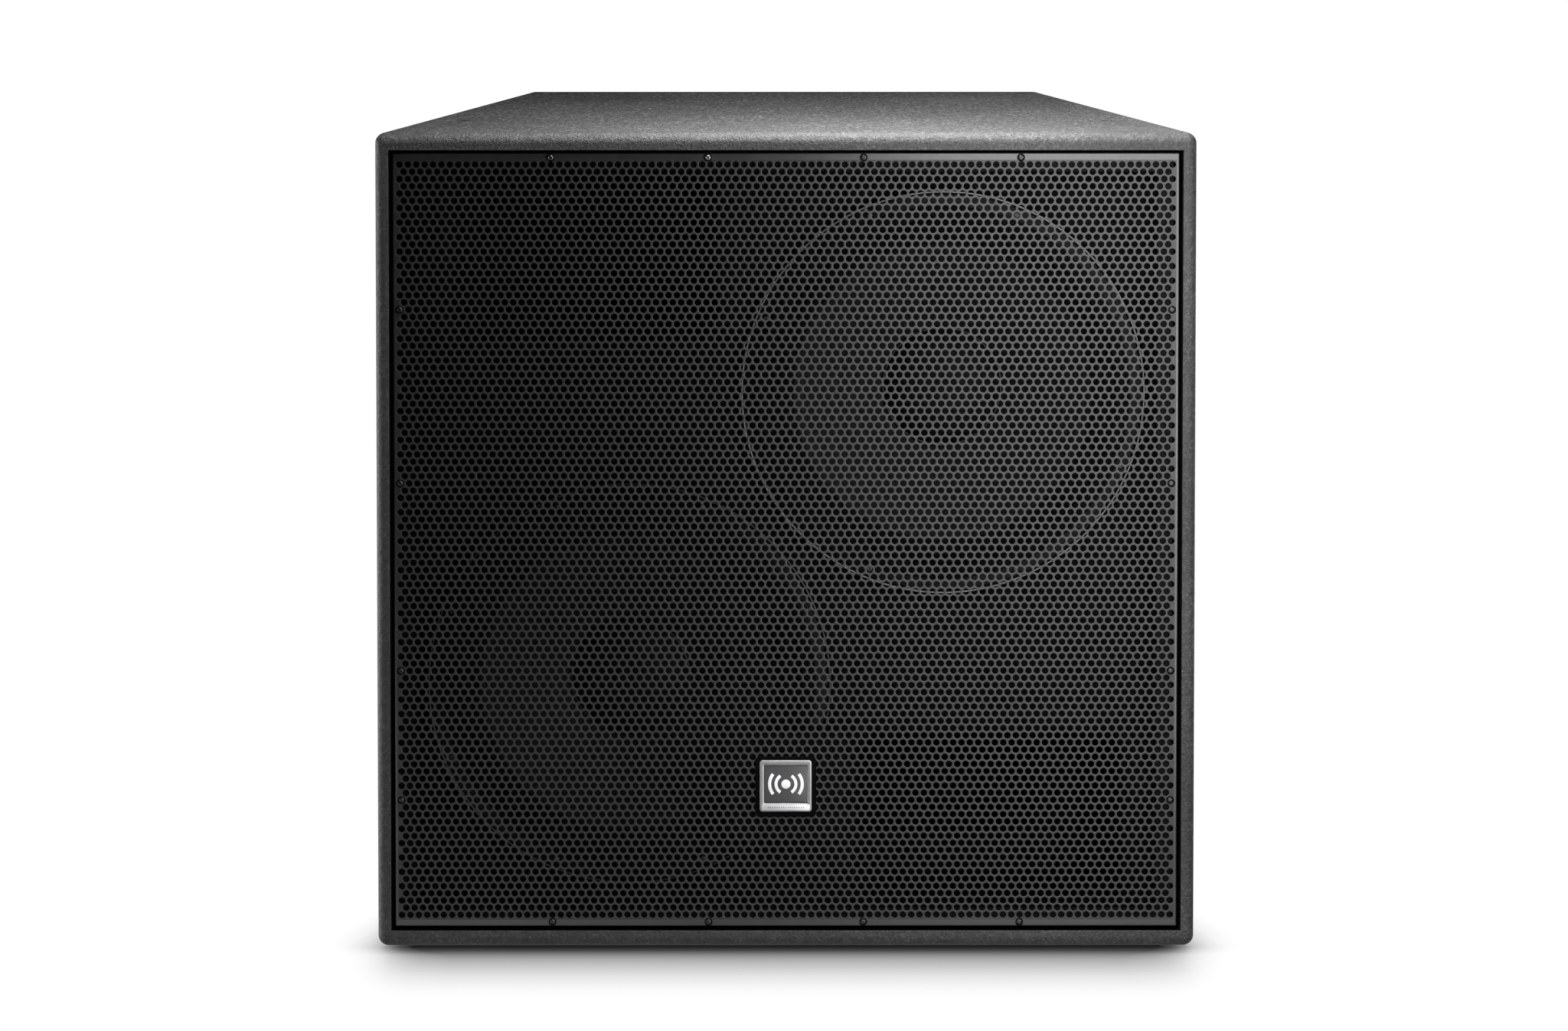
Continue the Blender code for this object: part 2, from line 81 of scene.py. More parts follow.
# ---------------------------------------------------------------- places, from the frame
HEIGHT = CAD_HI.z
Y0, Y1 = CAD_LO.y, CAD_HI.y
HALF_W = CAD_HI.x
SHARP = 2.2 * MM
TAPER = math.tan(math.radians(12.5))
T_LID = 15.5 * MM
T_SIDE = 18.4 * MM
T_LIP = 12.5 * MM + SHARP
EDGE_R = 10 * MM
BAFFLE_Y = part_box("front_baffle")[0].y
GRILLE_LO, GRILLE_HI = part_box("grille")
GRILLE_Y = GRILLE_LO.y
GRILLE_T = 1.5 * MM
DRIVERS = {}
for which in ("upper", "lower"):
    lo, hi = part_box(f"{which}_basket")
    DRIVERS[which] = ((lo.x + hi.x) / 2, lo.y, (lo.z + hi.z) / 2)


def half_width(y):
    return 387.5 * MM + SHARP - (y - Y0) * TAPER


# ---------------------------------------------------------------- materials
class Look:
    """A procedural material: the constants sit on the shader, and only what varies over the surface is linked."""

    def __init__(self, name, color, rough, metal=0.0, spec=0.5, ior=1.5, coat=0.0, coat_rough=0.1, sheen=0.0, sheen_rough=0.5, transmission=0.0):
        self.material = bpy.data.materials.new(name)
        self.material.use_nodes = True
        self.tree = self.material.node_tree
        self.shader = self.tree.nodes["Principled BSDF"]
        self.color = color
        put = self.shader.inputs
        put["Base Color"].default_value = (*color, 1.0)
        put["Roughness"].default_value = rough
        put["Metallic"].default_value = metal
        put["Specular IOR Level"].default_value = spec
        put["IOR"].default_value = ior
        put["Coat Weight"].default_value = coat
        put["Coat Roughness"].default_value = coat_rough
        put["Sheen Weight"].default_value = sheen
        put["Sheen Roughness"].default_value = sheen_rough
        put["Transmission Weight"].default_value = transmission
        self.point = self.tree.nodes.new("ShaderNodeTexCoord").outputs["Object"]

    def node(self, kind):
        return self.tree.nodes.new(kind)

    def link(self, a, b):
        self.tree.links.new(a, b)

    def place(self, stretch=(1, 1, 1), turn=(0, 0, 0), shift=(0, 0, 0)):
        n = self.node("ShaderNodeMapping")
        n.inputs["Scale"].default_value = stretch
        n.inputs["Rotation"].default_value = [math.radians(a) for a in turn]
        n.inputs["Location"].default_value = shift
        self.link(self.point, n.inputs["Vector"])
        return n.outputs["Vector"]

    def noise(self, scale, detail=2.0, rough=0.5, at=None, distort=0.0):
        n = self.node("ShaderNodeTexNoise")
        n.inputs["Scale"].default_value = scale
        n.inputs["Detail"].default_value = detail
        n.inputs["Roughness"].default_value = rough
        n.inputs["Distortion"].default_value = distort
        self.link(at or self.point, n.inputs["Vector"])
        return n.outputs["Fac"]

    def cells(self, scale, at=None, feature="F1"):
        n = self.node("ShaderNodeTexVoronoi")
        n.feature = feature
        n.inputs["Scale"].default_value = scale
        self.link(at or self.point, n.inputs["Vector"])
        return n.outputs["Distance"]

    def waves(self, scale, direction="X", at=None, kind="BANDS", distort=0.0, detail=0.0):
        n = self.node("ShaderNodeTexWave")
        n.wave_type = kind
        if kind == "BANDS":
            n.bands_direction = direction
        else:
            n.rings_direction = direction
        n.inputs["Scale"].default_value = scale
        n.inputs["Distortion"].default_value = distort
        n.inputs["Detail"].default_value = detail
        self.link(at or self.point, n.inputs["Vector"])
        return n.outputs["Fac"]

    def spread(self, value, a, b, to_a=0.0, to_b=1.0):
        n = self.node("ShaderNodeMapRange")
        n.clamp = True
        for key, v in (("From Min", a), ("From Max", b), ("To Min", to_a), ("To Max", to_b)):
            n.inputs[key].default_value = v
        self.link(value, n.inputs["Value"])
        return n.outputs["Result"]

    def facing_up(self):
        """1 where the surface is level, 0 where it is upright."""
        n = self.node("ShaderNodeSeparateXYZ")
        self.link(self.node("ShaderNodeNewGeometry").outputs["True Normal"], n.inputs[0])
        return self.spread(self.calc("ABSOLUTE", n.outputs[2], 0.0), 0.985, 0.9995)

    def calc(self, operation, a, b):
        n = self.node("ShaderNodeMath")
        n.operation = operation
        for k, v in enumerate((a, b)):
            if isinstance(v, (int, float)):
                n.inputs[k].default_value = v
            else:
                self.link(v, n.inputs[k])
        return n.outputs[0]

    def tint(self, value, *stops):
        """Colours along value: stops are (position, colour)."""
        n = self.node("ShaderNodeValToRGB")
        while len(n.color_ramp.elements) < len(stops):
            n.color_ramp.elements.new(1.0)
        for e, (p, c) in zip(n.color_ramp.elements, stops):
            e.position = p
        for e, (p, c) in zip(n.color_ramp.elements, stops):
            e.color = (*c, 1.0)
        self.link(value, n.inputs["Fac"])
        self.link(n.outputs["Color"], self.shader.inputs["Base Color"])
        return n.outputs["Color"]

    def rough(self, value, a, b, to_a, to_b):
        self.link(self.spread(value, a, b, to_a, to_b), self.shader.inputs["Roughness"])

    def bump(self, height, distance, strength=1.0, under=None):
        n = self.node("ShaderNodeBump")
        n.inputs["Strength"].default_value = strength
        n.inputs["Distance"].default_value = distance
        self.link(height, n.inputs["Height"])
        if under is not None:
            self.link(under, n.inputs["Normal"])
        self.link(n.outputs["Normal"], self.shader.inputs["Normal"])
        return n.outputs["Normal"]


def scaled(c, k):
    return tuple(v * k for v in c)


def coating():
    """Sprayed textured coating: an orange-peel skin with fine grit in it."""
    base = (0.0260, 0.0262, 0.0268)
    m = Look("textured_coating", base, 0.52, spec=0.5)
    peel = m.noise(330, 4.0, 0.70)
    grit = m.noise(1000, 2.0, 0.6, at=m.place(shift=(0.3, 0.1, 0.7)))
    clump = m.noise(120, 2.0, 0.6, at=m.place(shift=(1.1, 0.2, 0.3)))
    drift = m.noise(9, 2.0, 0.5)
    speck = m.spread(m.noise(560, 2.0, 0.6, at=m.place(shift=(2.0, 0.4, 0.9))), 0.58, 0.70)
    tone = m.calc("ADD", m.calc("MULTIPLY", peel, 0.62), m.calc("ADD", m.calc("MULTIPLY", clump, 0.26), m.calc("MULTIPLY", drift, 0.12)))
    tone = m.calc("ADD", tone, m.calc("MULTIPLY", speck, 0.13))
    # on level faces, long soft patches of painted light and shade stand for the grazing light caught by the peel
    painted_grazing_patches = m.spread(m.noise(270, 3.0, 0.65, at=m.place(stretch=(1, 0.30, 1), shift=(0.5, 0.9, 0.1))), 0.34, 0.66, -0.10, 0.10)
    tone = m.calc("ADD", tone, m.calc("MULTIPLY", painted_grazing_patches, m.facing_up()))
    m.tint(tone, (0.37, scaled(base, 0.26)), (0.50, scaled(base, 0.78)), (0.56, scaled(base, 1.12)), (0.68, scaled(base, 2.9)))
    m.rough(grit, 0.35, 0.65, 0.54, 0.70)
    height = m.calc("ADD", m.calc("MULTIPLY", peel, 0.75), m.calc("MULTIPLY", grit, 0.25))
    m.bump(height, 0.0017, 1.0)
    return m.material


def inner_coating():
    # near-black, far darker than the outside coating: the shade inside the box behind the grille is painted into it
    base = (0.0014, 0.0014, 0.0014)
    m = Look("baffle_black_painted_shade", base, 0.8, spec=0.06)
    peel = m.noise(520, 2.0, 0.55)
    m.tint(peel, (0.35, scaled(base, 0.7)), (0.7, scaled(base, 1.6)))
    m.rough(m.noise(90, 2.0), 0.35, 0.65, 0.6, 0.8)
    m.bump(peel, 0.0005, 0.6)
    return m.material


def powder_coat(name, level, rough, spec):
    """Satin powder coat on steel."""
    base = (level, level, level * 1.03)
    m = Look(name, base, rough, spec=spec)
    skin = m.noise(1500, 2.0, 0.55)
    cloud = m.noise(14, 2.0, 0.5)
    m.tint(m.calc("ADD", m.calc("MULTIPLY", skin, 0.5), m.calc("MULTIPLY", cloud, 0.5)), (0.35, scaled(base, 0.82)), (0.65, scaled(base, 1.2)))
    m.rough(m.noise(240, 2.0, 0.6), 0.35, 0.65, rough - 0.04, rough + 0.04)
    m.bump(skin, 0.00012, 0.6)
    return m.material


def screw_black():
    base = (0.012, 0.012, 0.0125)
    m = Look("blackened_steel", base, 0.28, spec=0.6)
    grain = m.noise(900, 2.0, 0.6)
    m.tint(grain, (0.35, scaled(base, 0.7)), (0.7, scaled(base, 1.5)))
    m.rough(m.noise(420, 2.0), 0.3, 0.7, 0.20, 0.36)
    m.bump(grain, 0.00005, 0.5)
    return m.material


def casting():
    base = (0.0022, 0.0022, 0.0023)
    m = Look("painted_casting", base, 0.42, spec=0.09)
    sand = m.noise(620, 3.0, 0.6)
    m.tint(sand, (0.35, scaled(base, 0.75)), (0.7, scaled(base, 1.35)))
    m.rough(m.noise(140, 2.0), 0.35, 0.65, 0.27, 0.42)
    m.bump(sand, 0.00018, 0.6)
    return m.material


def foam():
    base = (0.0020, 0.0020, 0.0021)
    m = Look("gasket_foam", base, 0.9, spec=0.08)
    cell = m.cells(900)
    m.tint(cell, (0.1, scaled(base, 0.45)), (0.7, scaled(base, 1.7)))
    m.rough(m.noise(300, 2.0), 0.3, 0.7, 0.82, 0.97)
    m.bump(cell, 0.0004, 0.8)
    return m.material


def woven(name, base, rough, scale=2600, depth=0.00022, sheen=0.15, spec=0.4):
    """Doped cloth: warp and weft at right angles round the cone, under a thin skin of dope."""
    m = Look(name, base, rough, spec=spec, sheen=sheen, sheen_rough=0.5)
    warp = m.waves(scale / 6.2832 * 2.2, "X")
    weft = m.waves(scale / 6.2832 * 2.2, "Z")
    weave = m.calc("MULTIPLY", m.calc("ADD", warp, weft), 0.5)
    blotch = m.noise(60, 3.0, 0.55)
    m.tint(m.calc("ADD", m.calc("MULTIPLY", weave, 0.5), m.calc("MULTIPLY", blotch, 0.5)), (0.25, scaled(base, 0.6)), (0.75, scaled(base, 1.5)))
    m.rough(blotch, 0.35, 0.65, max(0.05, rough - 0.12), min(1.0, rough + 0.1))
    m.bump(weave, depth, 0.7)
    return m.material


def paper():
    base = (0.0068, 0.0068, 0.0069)
    m = Look("cone_paper", base, 0.62, spec=0.09)
    pulp = m.noise(480, 5.0, 0.65, distort=0.4)
    fibre = m.noise(150, 3.0, 0.6, at=m.place(stretch=(1, 1, 5), turn=(0, 35, 0)))
    tone = m.calc("ADD", m.calc("MULTIPLY", pulp, 0.55), m.calc("MULTIPLY", fibre, 0.45))
    m.tint(tone, (0.3, scaled(base, 0.6)), (0.5, base), (0.75, scaled(base, 1.5)))
    m.rough(pulp, 0.3, 0.7, 0.52, 0.74)
    m.bump(tone, 0.00035, 0.7)
    return m.material


def cap_paper():
    base = (0.0038, 0.0038, 0.0039)
    m = Look("dust_cap_felt", base, 0.6, spec=0.06)
    pulp = m.noise(650, 4.0, 0.65)
    m.tint(pulp, (0.3, scaled(base, 0.65)), (0.72, scaled(base, 1.45)))
    m.rough(m.noise(90, 2.0), 0.35, 0.65, 0.5, 0.7)
    m.bump(pulp, 0.0003, 0.7)
    return m.material


def glue():
    base = (0.002, 0.002, 0.002)
    m = Look("glue_bead", base, 0.26, spec=0.25)
    lump = m.noise(120, 2.0, 0.5)
    m.tint(lump, (0.3, scaled(base, 0.7)), (0.7, scaled(base, 1.4)))
    m.rough(m.noise(300, 2.0), 0.3, 0.7, 0.15, 0.32)
    m.bump(lump, 0.0008, 0.6)
    return m.material


def brushed(name, base, rough, streak=(0.02, 1, 1), scale=2600, metal=1.0, depth=0.00003):
    """Brushed metal: fine scratches along one direction."""
    m = Look(name, base, rough, metal=metal)
    lines = m.noise(scale, 3.0, 0.6, at=m.place(stretch=streak))
    cloud = m.noise(70, 2.0, 0.5)
    m.tint(m.calc("ADD", m.calc("MULTIPLY", lines, 0.6), m.calc("MULTIPLY", cloud, 0.4)), (0.32, scaled(base, 0.80)), (0.68, tuple(min(1.0, v * 1.16) for v in base)))
    m.rough(lines, 0.3, 0.7, rough - 0.07, rough + 0.1)
    m.bump(lines, depth, 0.7)
    return m.material


def field():
    base = (0.062, 0.062, 0.064)
    m = Look("badge_enamel", base, 0.42, spec=0.4, coat=0.25, coat_rough=0.2)
    grain = m.noise(1800, 2.0, 0.6)
    m.tint(m.calc("ADD", m.calc("MULTIPLY", grain, 0.6), m.calc("MULTIPLY", m.noise(45, 2.0), 0.4)), (0.32, scaled(base, 0.82)), (0.68, scaled(base, 1.2)))
    m.rough(grain, 0.3, 0.7, 0.36, 0.5)
    m.bump(grain, 0.00003, 0.5)
    return m.material


def mark_white():
    base = (0.86, 0.86, 0.87)
    m = Look("mark_lacquer", base, 0.35, spec=0.4)
    grain = m.noise(1400, 2.0, 0.6)
    m.tint(grain, (0.3, scaled(base, 0.93)), (0.7, tuple(min(1.0, v * 1.05) for v in base)))
    m.rough(m.noise(500, 2.0), 0.3, 0.7, 0.28, 0.42)
    m.bump(grain, 0.00003, 0.5)
    return m.material


def plastic(name, base, rough, grain_scale=1600, depth=0.00006, coat=0.0, spec=0.5):
    m = Look(name, base, rough, spec=spec, coat=coat)
    grain = m.noise(grain_scale, 3.0, 0.6)
    m.tint(m.calc("ADD", m.calc("MULTIPLY", grain, 0.5), m.calc("MULTIPLY", m.noise(60, 2.0), 0.5)), (0.33, scaled(base, 0.8)), (0.67, scaled(base, 1.25)))
    m.rough(grain, 0.3, 0.7, max(0.04, rough - 0.07), rough + 0.09)
    m.bump(grain, depth, 0.6)
    return m.material


def smoked():
    """Smoked clear plastic."""
    base = (0.10, 0.10, 0.11)
    m = Look("smoked_plastic", base, 0.20, spec=0.5, ior=1.49, transmission=0.60)
    swirl = m.noise(80, 2.0, 0.5)
    m.tint(swirl, (0.3, scaled(base, 0.85)), (0.7, scaled(base, 1.15)))
    m.rough(m.noise(420, 2.0), 0.3, 0.7, 0.16, 0.26)
    m.bump(swirl, 0.00003, 0.2)
    return m.material


def plywood():
    """Birch plywood, near-black as painted shade for the inside of the box."""
    base = (0.0042, 0.0038, 0.0034)
    m = Look("plywood_painted_shade", base, 0.78, spec=0.08)
    grain = m.noise(38, 4.0, 0.6, at=m.place(stretch=(1, 1, 0.07)), distort=0.6)
    pore = m.noise(900, 2.0, 0.6, at=m.place(stretch=(1, 1, 0.05)))
    plies = m.waves(105, "Y")
    tone = m.calc("ADD", m.calc("MULTIPLY", grain, 0.6), m.calc("ADD", m.calc("MULTIPLY", pore, 0.2), m.calc("MULTIPLY", plies, 0.2)))
    m.tint(tone, (0.25, scaled(base, 0.5)), (0.5, base), (0.8, scaled(base, 2.0)))
    m.rough(grain, 0.3, 0.7, 0.58, 0.8)
    m.bump(tone, 0.0003, 0.6)
    return m.material


def ferrite():
    base = (0.045, 0.045, 0.047)
    m = Look("ferrite", base, 0.5, spec=0.5)
    grain = m.cells(700)
    m.tint(grain, (0.1, scaled(base, 0.6)), (0.7, scaled(base, 1.5)))
    m.rough(m.noise(200, 2.0), 0.3, 0.7, 0.4, 0.65)
    m.bump(grain, 0.0002, 0.5)
    return m.material


def wound_coil():
    base = (0.72, 0.36, 0.17)
    m = Look("wound_coil", base, 0.32, metal=0.85)
    turns = m.waves(230, "Y")
    m.tint(turns, (0.15, scaled(base, 0.4)), (0.7, base))
    m.rough(m.noise(300, 2.0), 0.3, 0.7, 0.25, 0.42)
    m.bump(turns, 0.0004, 0.9)
    return m.material


def rubber():
    base = (0.014, 0.014, 0.014)
    m = Look("lead_rubber", base, 0.55, spec=0.4)
    grain = m.noise(1100, 2.0, 0.6)
    m.tint(grain, (0.3, scaled(base, 0.7)), (0.7, scaled(base, 1.5)))
    m.rough(m.noise(120, 2.0), 0.3, 0.7, 0.45, 0.66)
    m.bump(grain, 0.0001, 0.6)
    return m.material


def fibre():
    # dark, as painted shade for the inside of the box
    base = (0.030, 0.030, 0.031)
    m = Look("damping_fibre", base, 0.95, spec=0.1, sheen=0.0)
    hair = m.noise(190, 6.0, 0.72, distort=1.6)
    m.tint(hair, (0.3, scaled(base, 0.6)), (0.68, tuple(min(1.0, v * 1.15) for v in base)))
    m.rough(m.noise(50, 2.0), 0.3, 0.7, 0.88, 1.0)
    m.bump(hair, 0.004, 0.9)
    return m.material


M = {
    "coating": coating(),
    "inner": inner_coating(),
    "grille": powder_coat("satin_powder_coat", 0.0096, 0.56, 0.60),
    "margin": powder_coat("satin_powder_coat_margin", 0.0100, 0.44, 1.0),
    "screw": screw_black(),
    "insert": plastic("black_oxide", (0.020, 0.020, 0.0205), 0.50, 900, 0.00012, spec=0.30),
    # this line and the next are lighter copies of the zinc on the other grille screws: painted highlights for the two
    # heads at the top left
    "grille_screw": brushed("zinc_painted_highlight", (0.26, 0.26, 0.265), 0.34, streak=(1, 1, 1), scale=900, metal=0.9, depth=0.00003),
    "screw_painted_dim_highlight": brushed("zinc_painted_dim_highlight", (0.13, 0.13, 0.133), 0.34, streak=(1, 1, 1), scale=900, metal=0.9, depth=0.00003),
    "casting": casting(),
    "rim": brushed("machined_rim", (0.17, 0.17, 0.173), 0.38, streak=(1, 1, 1), scale=700, metal=0.9, depth=0.00003),
    # a darker copy of the rim metal above, as painted shade on the lower driver
    "rim_painted_shade": brushed("rim_painted_shade", (0.066, 0.066, 0.068), 0.42, streak=(1, 1, 1), scale=700, metal=0.9, depth=0.00003),
    "side_screw": brushed("blackened_zinc", (0.050, 0.050, 0.052), 0.36, streak=(1, 1, 1), scale=900, metal=0.9, depth=0.00003),
    "foam": foam(),
    "surround": woven("doped_cloth", (0.0016, 0.0016, 0.0016), 0.65, sheen=0.0, spec=0.08),
    "spider": woven("phenolic_cloth", (0.42, 0.28, 0.09), 0.8, sheen=0.0),
    "paper": paper(),
    "cap": cap_paper(),
    "glue": glue(),
    "silver": brushed("brushed_aluminium", (0.40, 0.40, 0.405), 0.42),
    "field": field(),
    "mark": mark_white(),
    "pad": plastic("matt_pad", (0.0012, 0.0012, 0.0012), 0.9, 700, 0.0002, spec=0.06),
    "band": brushed("satin_band", (0.80, 0.80, 0.81), 0.46, streak=(0.05, 1, 1), scale=1800, metal=0.85),
    "panel": plastic("panel_powder_coat", (0.022, 0.022, 0.0225), 0.42, 950, 0.00018),
    "socket": plastic("moulded_nylon", (0.014, 0.014, 0.0145), 0.36),
    "strip": plastic("moulded_phenolic", (0.017, 0.017, 0.0175), 0.48, 900, 0.0001),
    "cover": smoked(),
    "plated": brushed("nickel_plate", (0.40, 0.385, 0.35), 0.34, streak=(1, 1, 1), scale=900, depth=0.00002),
    "zinc": brushed("zinc_plate", (0.38, 0.38, 0.375), 0.36, streak=(1, 1, 1), scale=500, depth=0.00004),
    "wood": plywood(),
    "ferrite": ferrite(),
    "coil": wound_coil(),
    "rubber": rubber(),
    "fibre": fibre(),
}


# ---------------------------------------------------------------- mesh helpers
def settle(obj, angle=35.0, weighted=False, recalc=True):
    """Outward normals, smooth shading with sharp edges over the angle, and flat faces kept flat."""
    bm = bmesh.new()
    bm.from_mesh(obj.data)
    if recalc:
        bmesh.ops.recalc_face_normals(bm, faces=bm.faces[:])
    limit = math.radians(angle)
    for f in bm.faces:
        f.smooth = True
    for e in bm.edges:
        e.smooth = not (len(e.link_faces) == 2 and e.calc_face_angle(0.0) > limit)
    bm.to_mesh(obj.data)
    bm.free()
    if weighted:
        mod = obj.modifiers.new("normals", "WEIGHTED_NORMAL")
        mod.keep_sharp = True
        mod.weight = 60
        bake(obj)


def bake(obj):
    """Applies the modifiers of obj to its mesh."""
    graph = bpy.context.evaluated_depsgraph_get()
    graph.update()
    mesh = bpy.data.meshes.new_from_object(obj.evaluated_get(graph), preserve_all_data_layers=True, depsgraph=graph)
    obj.modifiers.clear()
    old = obj.data
    obj.data = mesh
    mesh.name = obj.name
    if old.users == 0:
        bpy.data.meshes.remove(old)


def raw(name, verts, faces):
    mesh = bpy.data.meshes.new(name)
    mesh.from_pydata([tuple(v) for v in verts], [], [tuple(f) for f in faces])
    obj = bpy.data.objects.new(name, mesh)
    SCENE.collection.objects.link(obj)
    return obj


def dress(obj, look, body="cabinet", replaces=(), angle=35.0, weighted=False, recalc=True, shade=True):
    """Material, shading, body and slot for a finished mesh."""
    if shade:
        settle(obj, angle, weighted, recalc)
    obj.data.materials.clear()
    obj.data.materials.append(M[look])
    if body:
        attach(obj, body)
    if replaces:
        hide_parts(*replaces)
    return obj


def outward(obj):
    bm = bmesh.new()
    bm.from_mesh(obj.data)
    bmesh.ops.recalc_face_normals(bm, faces=bm.faces[:])
    bm.to_mesh(obj.data)
    bm.free()


def cut(obj, other, operation="DIFFERENCE"):
    outward(obj)
    outward(other)
    mod = obj.modifiers.new("cut", "BOOLEAN")
    mod.operation = operation
    mod.solver = "EXACT"
    mod.object = other
    bake(obj)
    used = other.data
    bpy.data.objects.remove(other, do_unlink=True)
    bpy.data.meshes.remove(used)
    bm = bmesh.new()
    bm.from_mesh(obj.data)
    bmesh.ops.remove_doubles(bm, verts=bm.verts[:], dist=1e-7)
    bm.to_mesh(obj.data)
    bm.free()


def loft(rings, closed=False):
    """Verts and faces through rings of the same number of points; the ends are capped unless the loft closes on itself. A ring of one point is a tip."""
    verts, index = [], []
    for ring in rings:
        index.append(list(range(len(verts), len(verts) + len(ring))))
        verts += ring
    faces = []
    pairs = list(zip(index, index[1:]))
    if closed:
        pairs.append((index[-1], index[0]))
    for a, b in pairs:
        n = max(len(a), len(b))
        if len(a) == 1 and len(b) == 1:
            continue
        for k in range(n):
            m = (k + 1) % n
            if len(a) == 1:
                faces.append((a[0], b[m], b[k]))
            elif len(b) == 1:
                faces.append((a[k], a[m], b[0]))
            else:
                faces.append((a[k], a[m], b[m], b[k]))
    if not closed:
        if len(index[0]) > 1:
            faces.append(tuple(index[0][::-1]))
        if len(index[-1]) > 1:
            faces.append(tuple(index[-1]))
    return verts, faces


def joined(*parts):
    """One verts and faces list out of several."""
    verts, faces = [], []
    for v, f in parts:
        k = len(verts)
        verts += list(v)
        faces += [tuple(i + k for i in face) for face in f]
    return verts, faces


def moved(part, matrix):
    return [matrix @ Vector(v) for v in part[0]], part[1]


def circle(r, t, n=48, start=0.0):
    return [(r * math.cos(start + 2 * math.pi * k / n), r * math.sin(start + 2 * math.pi * k / n), t) for k in range(n)]


def polygon_ring(sides, r, t, n=48, start=0.0):
    """n points round a regular polygon with its corners at radius r."""
    out = []
    per = n // sides
    for s in range(sides):
        a = start + 2 * math.pi * s / sides
        b = start + 2 * math.pi * (s + 1) / sides
        for k in range(per):
            u = k / per
            out.append((r * ((1 - u) * math.cos(a) + u * math.cos(b)), r * ((1 - u) * math.sin(a) + u * math.sin(b)), t))
    return out


def rounded(points, n=5):
    """A closed outline of (a, b, radius) with its corners rounded."""
    out = []
    m = len(points)
    for i, (x, y, r) in enumerate(points):
        if r <= 0:
            out.append((x, y))
            continue
        p, q = points[i - 1], points[(i + 1) % m]
        v1, v2 = Vector((p[0] - x, p[1] - y)), Vector((q[0] - x, q[1] - y))
        l1, l2 = v1.length, v2.length
        v1, v2 = v1 / l1, v2 / l2
        ang = v1.angle(v2)
        if ang > math.pi - 0.02:
            out.append((x, y))
            continue
        d = min(r / math.tan(ang / 2), l1 * 0.48, l2 * 0.48)
        rr = d * math.tan(ang / 2)
        c = Vector((x, y)) + (v1 + v2).normalized() * (rr / math.sin(ang / 2))
        a, b = Vector((x, y)) + v1 * d, Vector((x, y)) + v2 * d
        a0, a1 = math.atan2(a.y - c.y, a.x - c.x), math.atan2(b.y - c.y, b.x - c.x)
        da = (a1 - a0 + math.pi) % (2 * math.pi) - math.pi
        for k in range(n + 1):
            t = a0 + da * k / n
            out.append((c.x + rr * math.cos(t), c.y + rr * math.sin(t)))
    return out


def spline(points, steps=6):
    """A smooth open curve through 2-D points."""
    out = []
    for i in range(len(points) - 1):
        p0, p1, p2, p3 = (Vector(points[j]) for j in (max(i - 1, 0), i, i + 1, min(i + 2, len(points) - 1)))
        for k in range(steps):
            t = k / steps
            q = 0.5 * ((2 * p1) + (p2 - p0) * t + (2 * p0 - 5 * p1 + 4 * p2 - p3) * t * t + (3 * p1 - p0 - 3 * p2 + p3) * t**3)
            out.append((q.x, q.y))
    out.append(tuple(points[-1]))
    return out


def lathe(profile, centre, segs=128, closed=True):
    """Turns (radius, distance behind) in mm about the Y line through centre."""
    rings = []
    for r, u in profile:
        y = centre[1] + u * MM
        if r < 1e-6:
            rings.append([(centre[0], y, centre[2])])
        else:
            rings.append([(centre[0] + r * MM * math.cos(2 * math.pi * k / segs), y, centre[2] + r * MM * math.sin(2 * math.pi * k / segs)) for k in range(segs)])
    return loft(rings, closed=closed)


def rr(x0, x1, z0, z1, r, n=8):
    """Rounded rectangle outline as (x, z), the same number of points whatever its size."""
    r = max(r, 1e-5)
    out = []
    for cx, cz, a0 in ((x1 - r, z0 + r, -90), (x1 - r, z1 - r, 0), (x0 + r, z1 - r, 90), (x0 + r, z0 + r, 180)):
        for k in range(n + 1):
            a = math.radians(a0 + 90.0 * k / n)
            out.append((cx + r * math.cos(a), cz + r * math.sin(a)))
    return out


def rr_grow(x0, x1, z0, z1, r, n=8):
    return lambda g: rr(x0 - g, x1 + g, z0 - g, z1 + g, r + g, n)


def slab(outline, front, back, edge=0.0004, steps=3, back_edge=0.0):
    """A plate between two y planes, its front edge rounded. outline(grow) gives (x, z) points."""
    s = 1.0 if back > front else -1.0
    rings = []
    for k in range(steps + 1):
        a = math.pi / 2 * k / steps
        rings.append([(x, front + s * edge * (1 - math.cos(a)), z) for x, z in outline(-edge * (1 - math.sin(a)))])
    if back_edge > 0:
        for k in range(steps + 1):
            a = math.pi / 2 * k / steps
            rings.append([(x, back - s * back_edge * (1 - math.sin(a)), z) for x, z in outline(-back_edge * (1 - math.cos(a)))])
    else:
        rings.append([(x, back, z) for x, z in outline(0.0)])
    return loft(rings)


def block(x, y, z, edge=0.0004, steps=2):
    """A box with rounded edges."""
    bm = bmesh.new()
    bmesh.ops.create_cube(bm, size=1.0)
    for v in bm.verts:
        v.co = Vector((x[0] if v.co.x < 0 else x[1], y[0] if v.co.y < 0 else y[1], z[0] if v.co.z < 0 else z[1]))
    if edge > 0:
        bmesh.ops.bevel(bm, geom=bm.edges[:], offset=edge, offset_type="OFFSET", segments=steps, profile=0.5, affect="EDGES")
    verts = [tuple(v.co) for v in bm.verts]
    bm.verts.index_update()
    faces = [tuple(v.index for v in f.verts) for f in bm.faces]
    bm.free()
    return verts, faces


AXES = {
    "-Y": Matrix(((1, 0, 0), (0, 0, -1), (0, 1, 0))),
    "+Y": Matrix(((-1, 0, 0), (0, 0, 1), (0, 1, 0))),
    "+Z": Matrix(((1, 0, 0), (0, 1, 0), (0, 0, 1))),
    "-Z": Matrix(((-1, 0, 0), (0, 1, 0), (0, 0, -1))),
}


def facing(part, at, axis, turn=0.0):
    """A part made along local +Z, stood on the point `at` so that it faces `axis`."""
    m = Matrix.Translation(Vector(at)) @ AXES[axis].to_4x4() @ Matrix.Rotation(turn, 4, "Z")
    return moved(part, m)


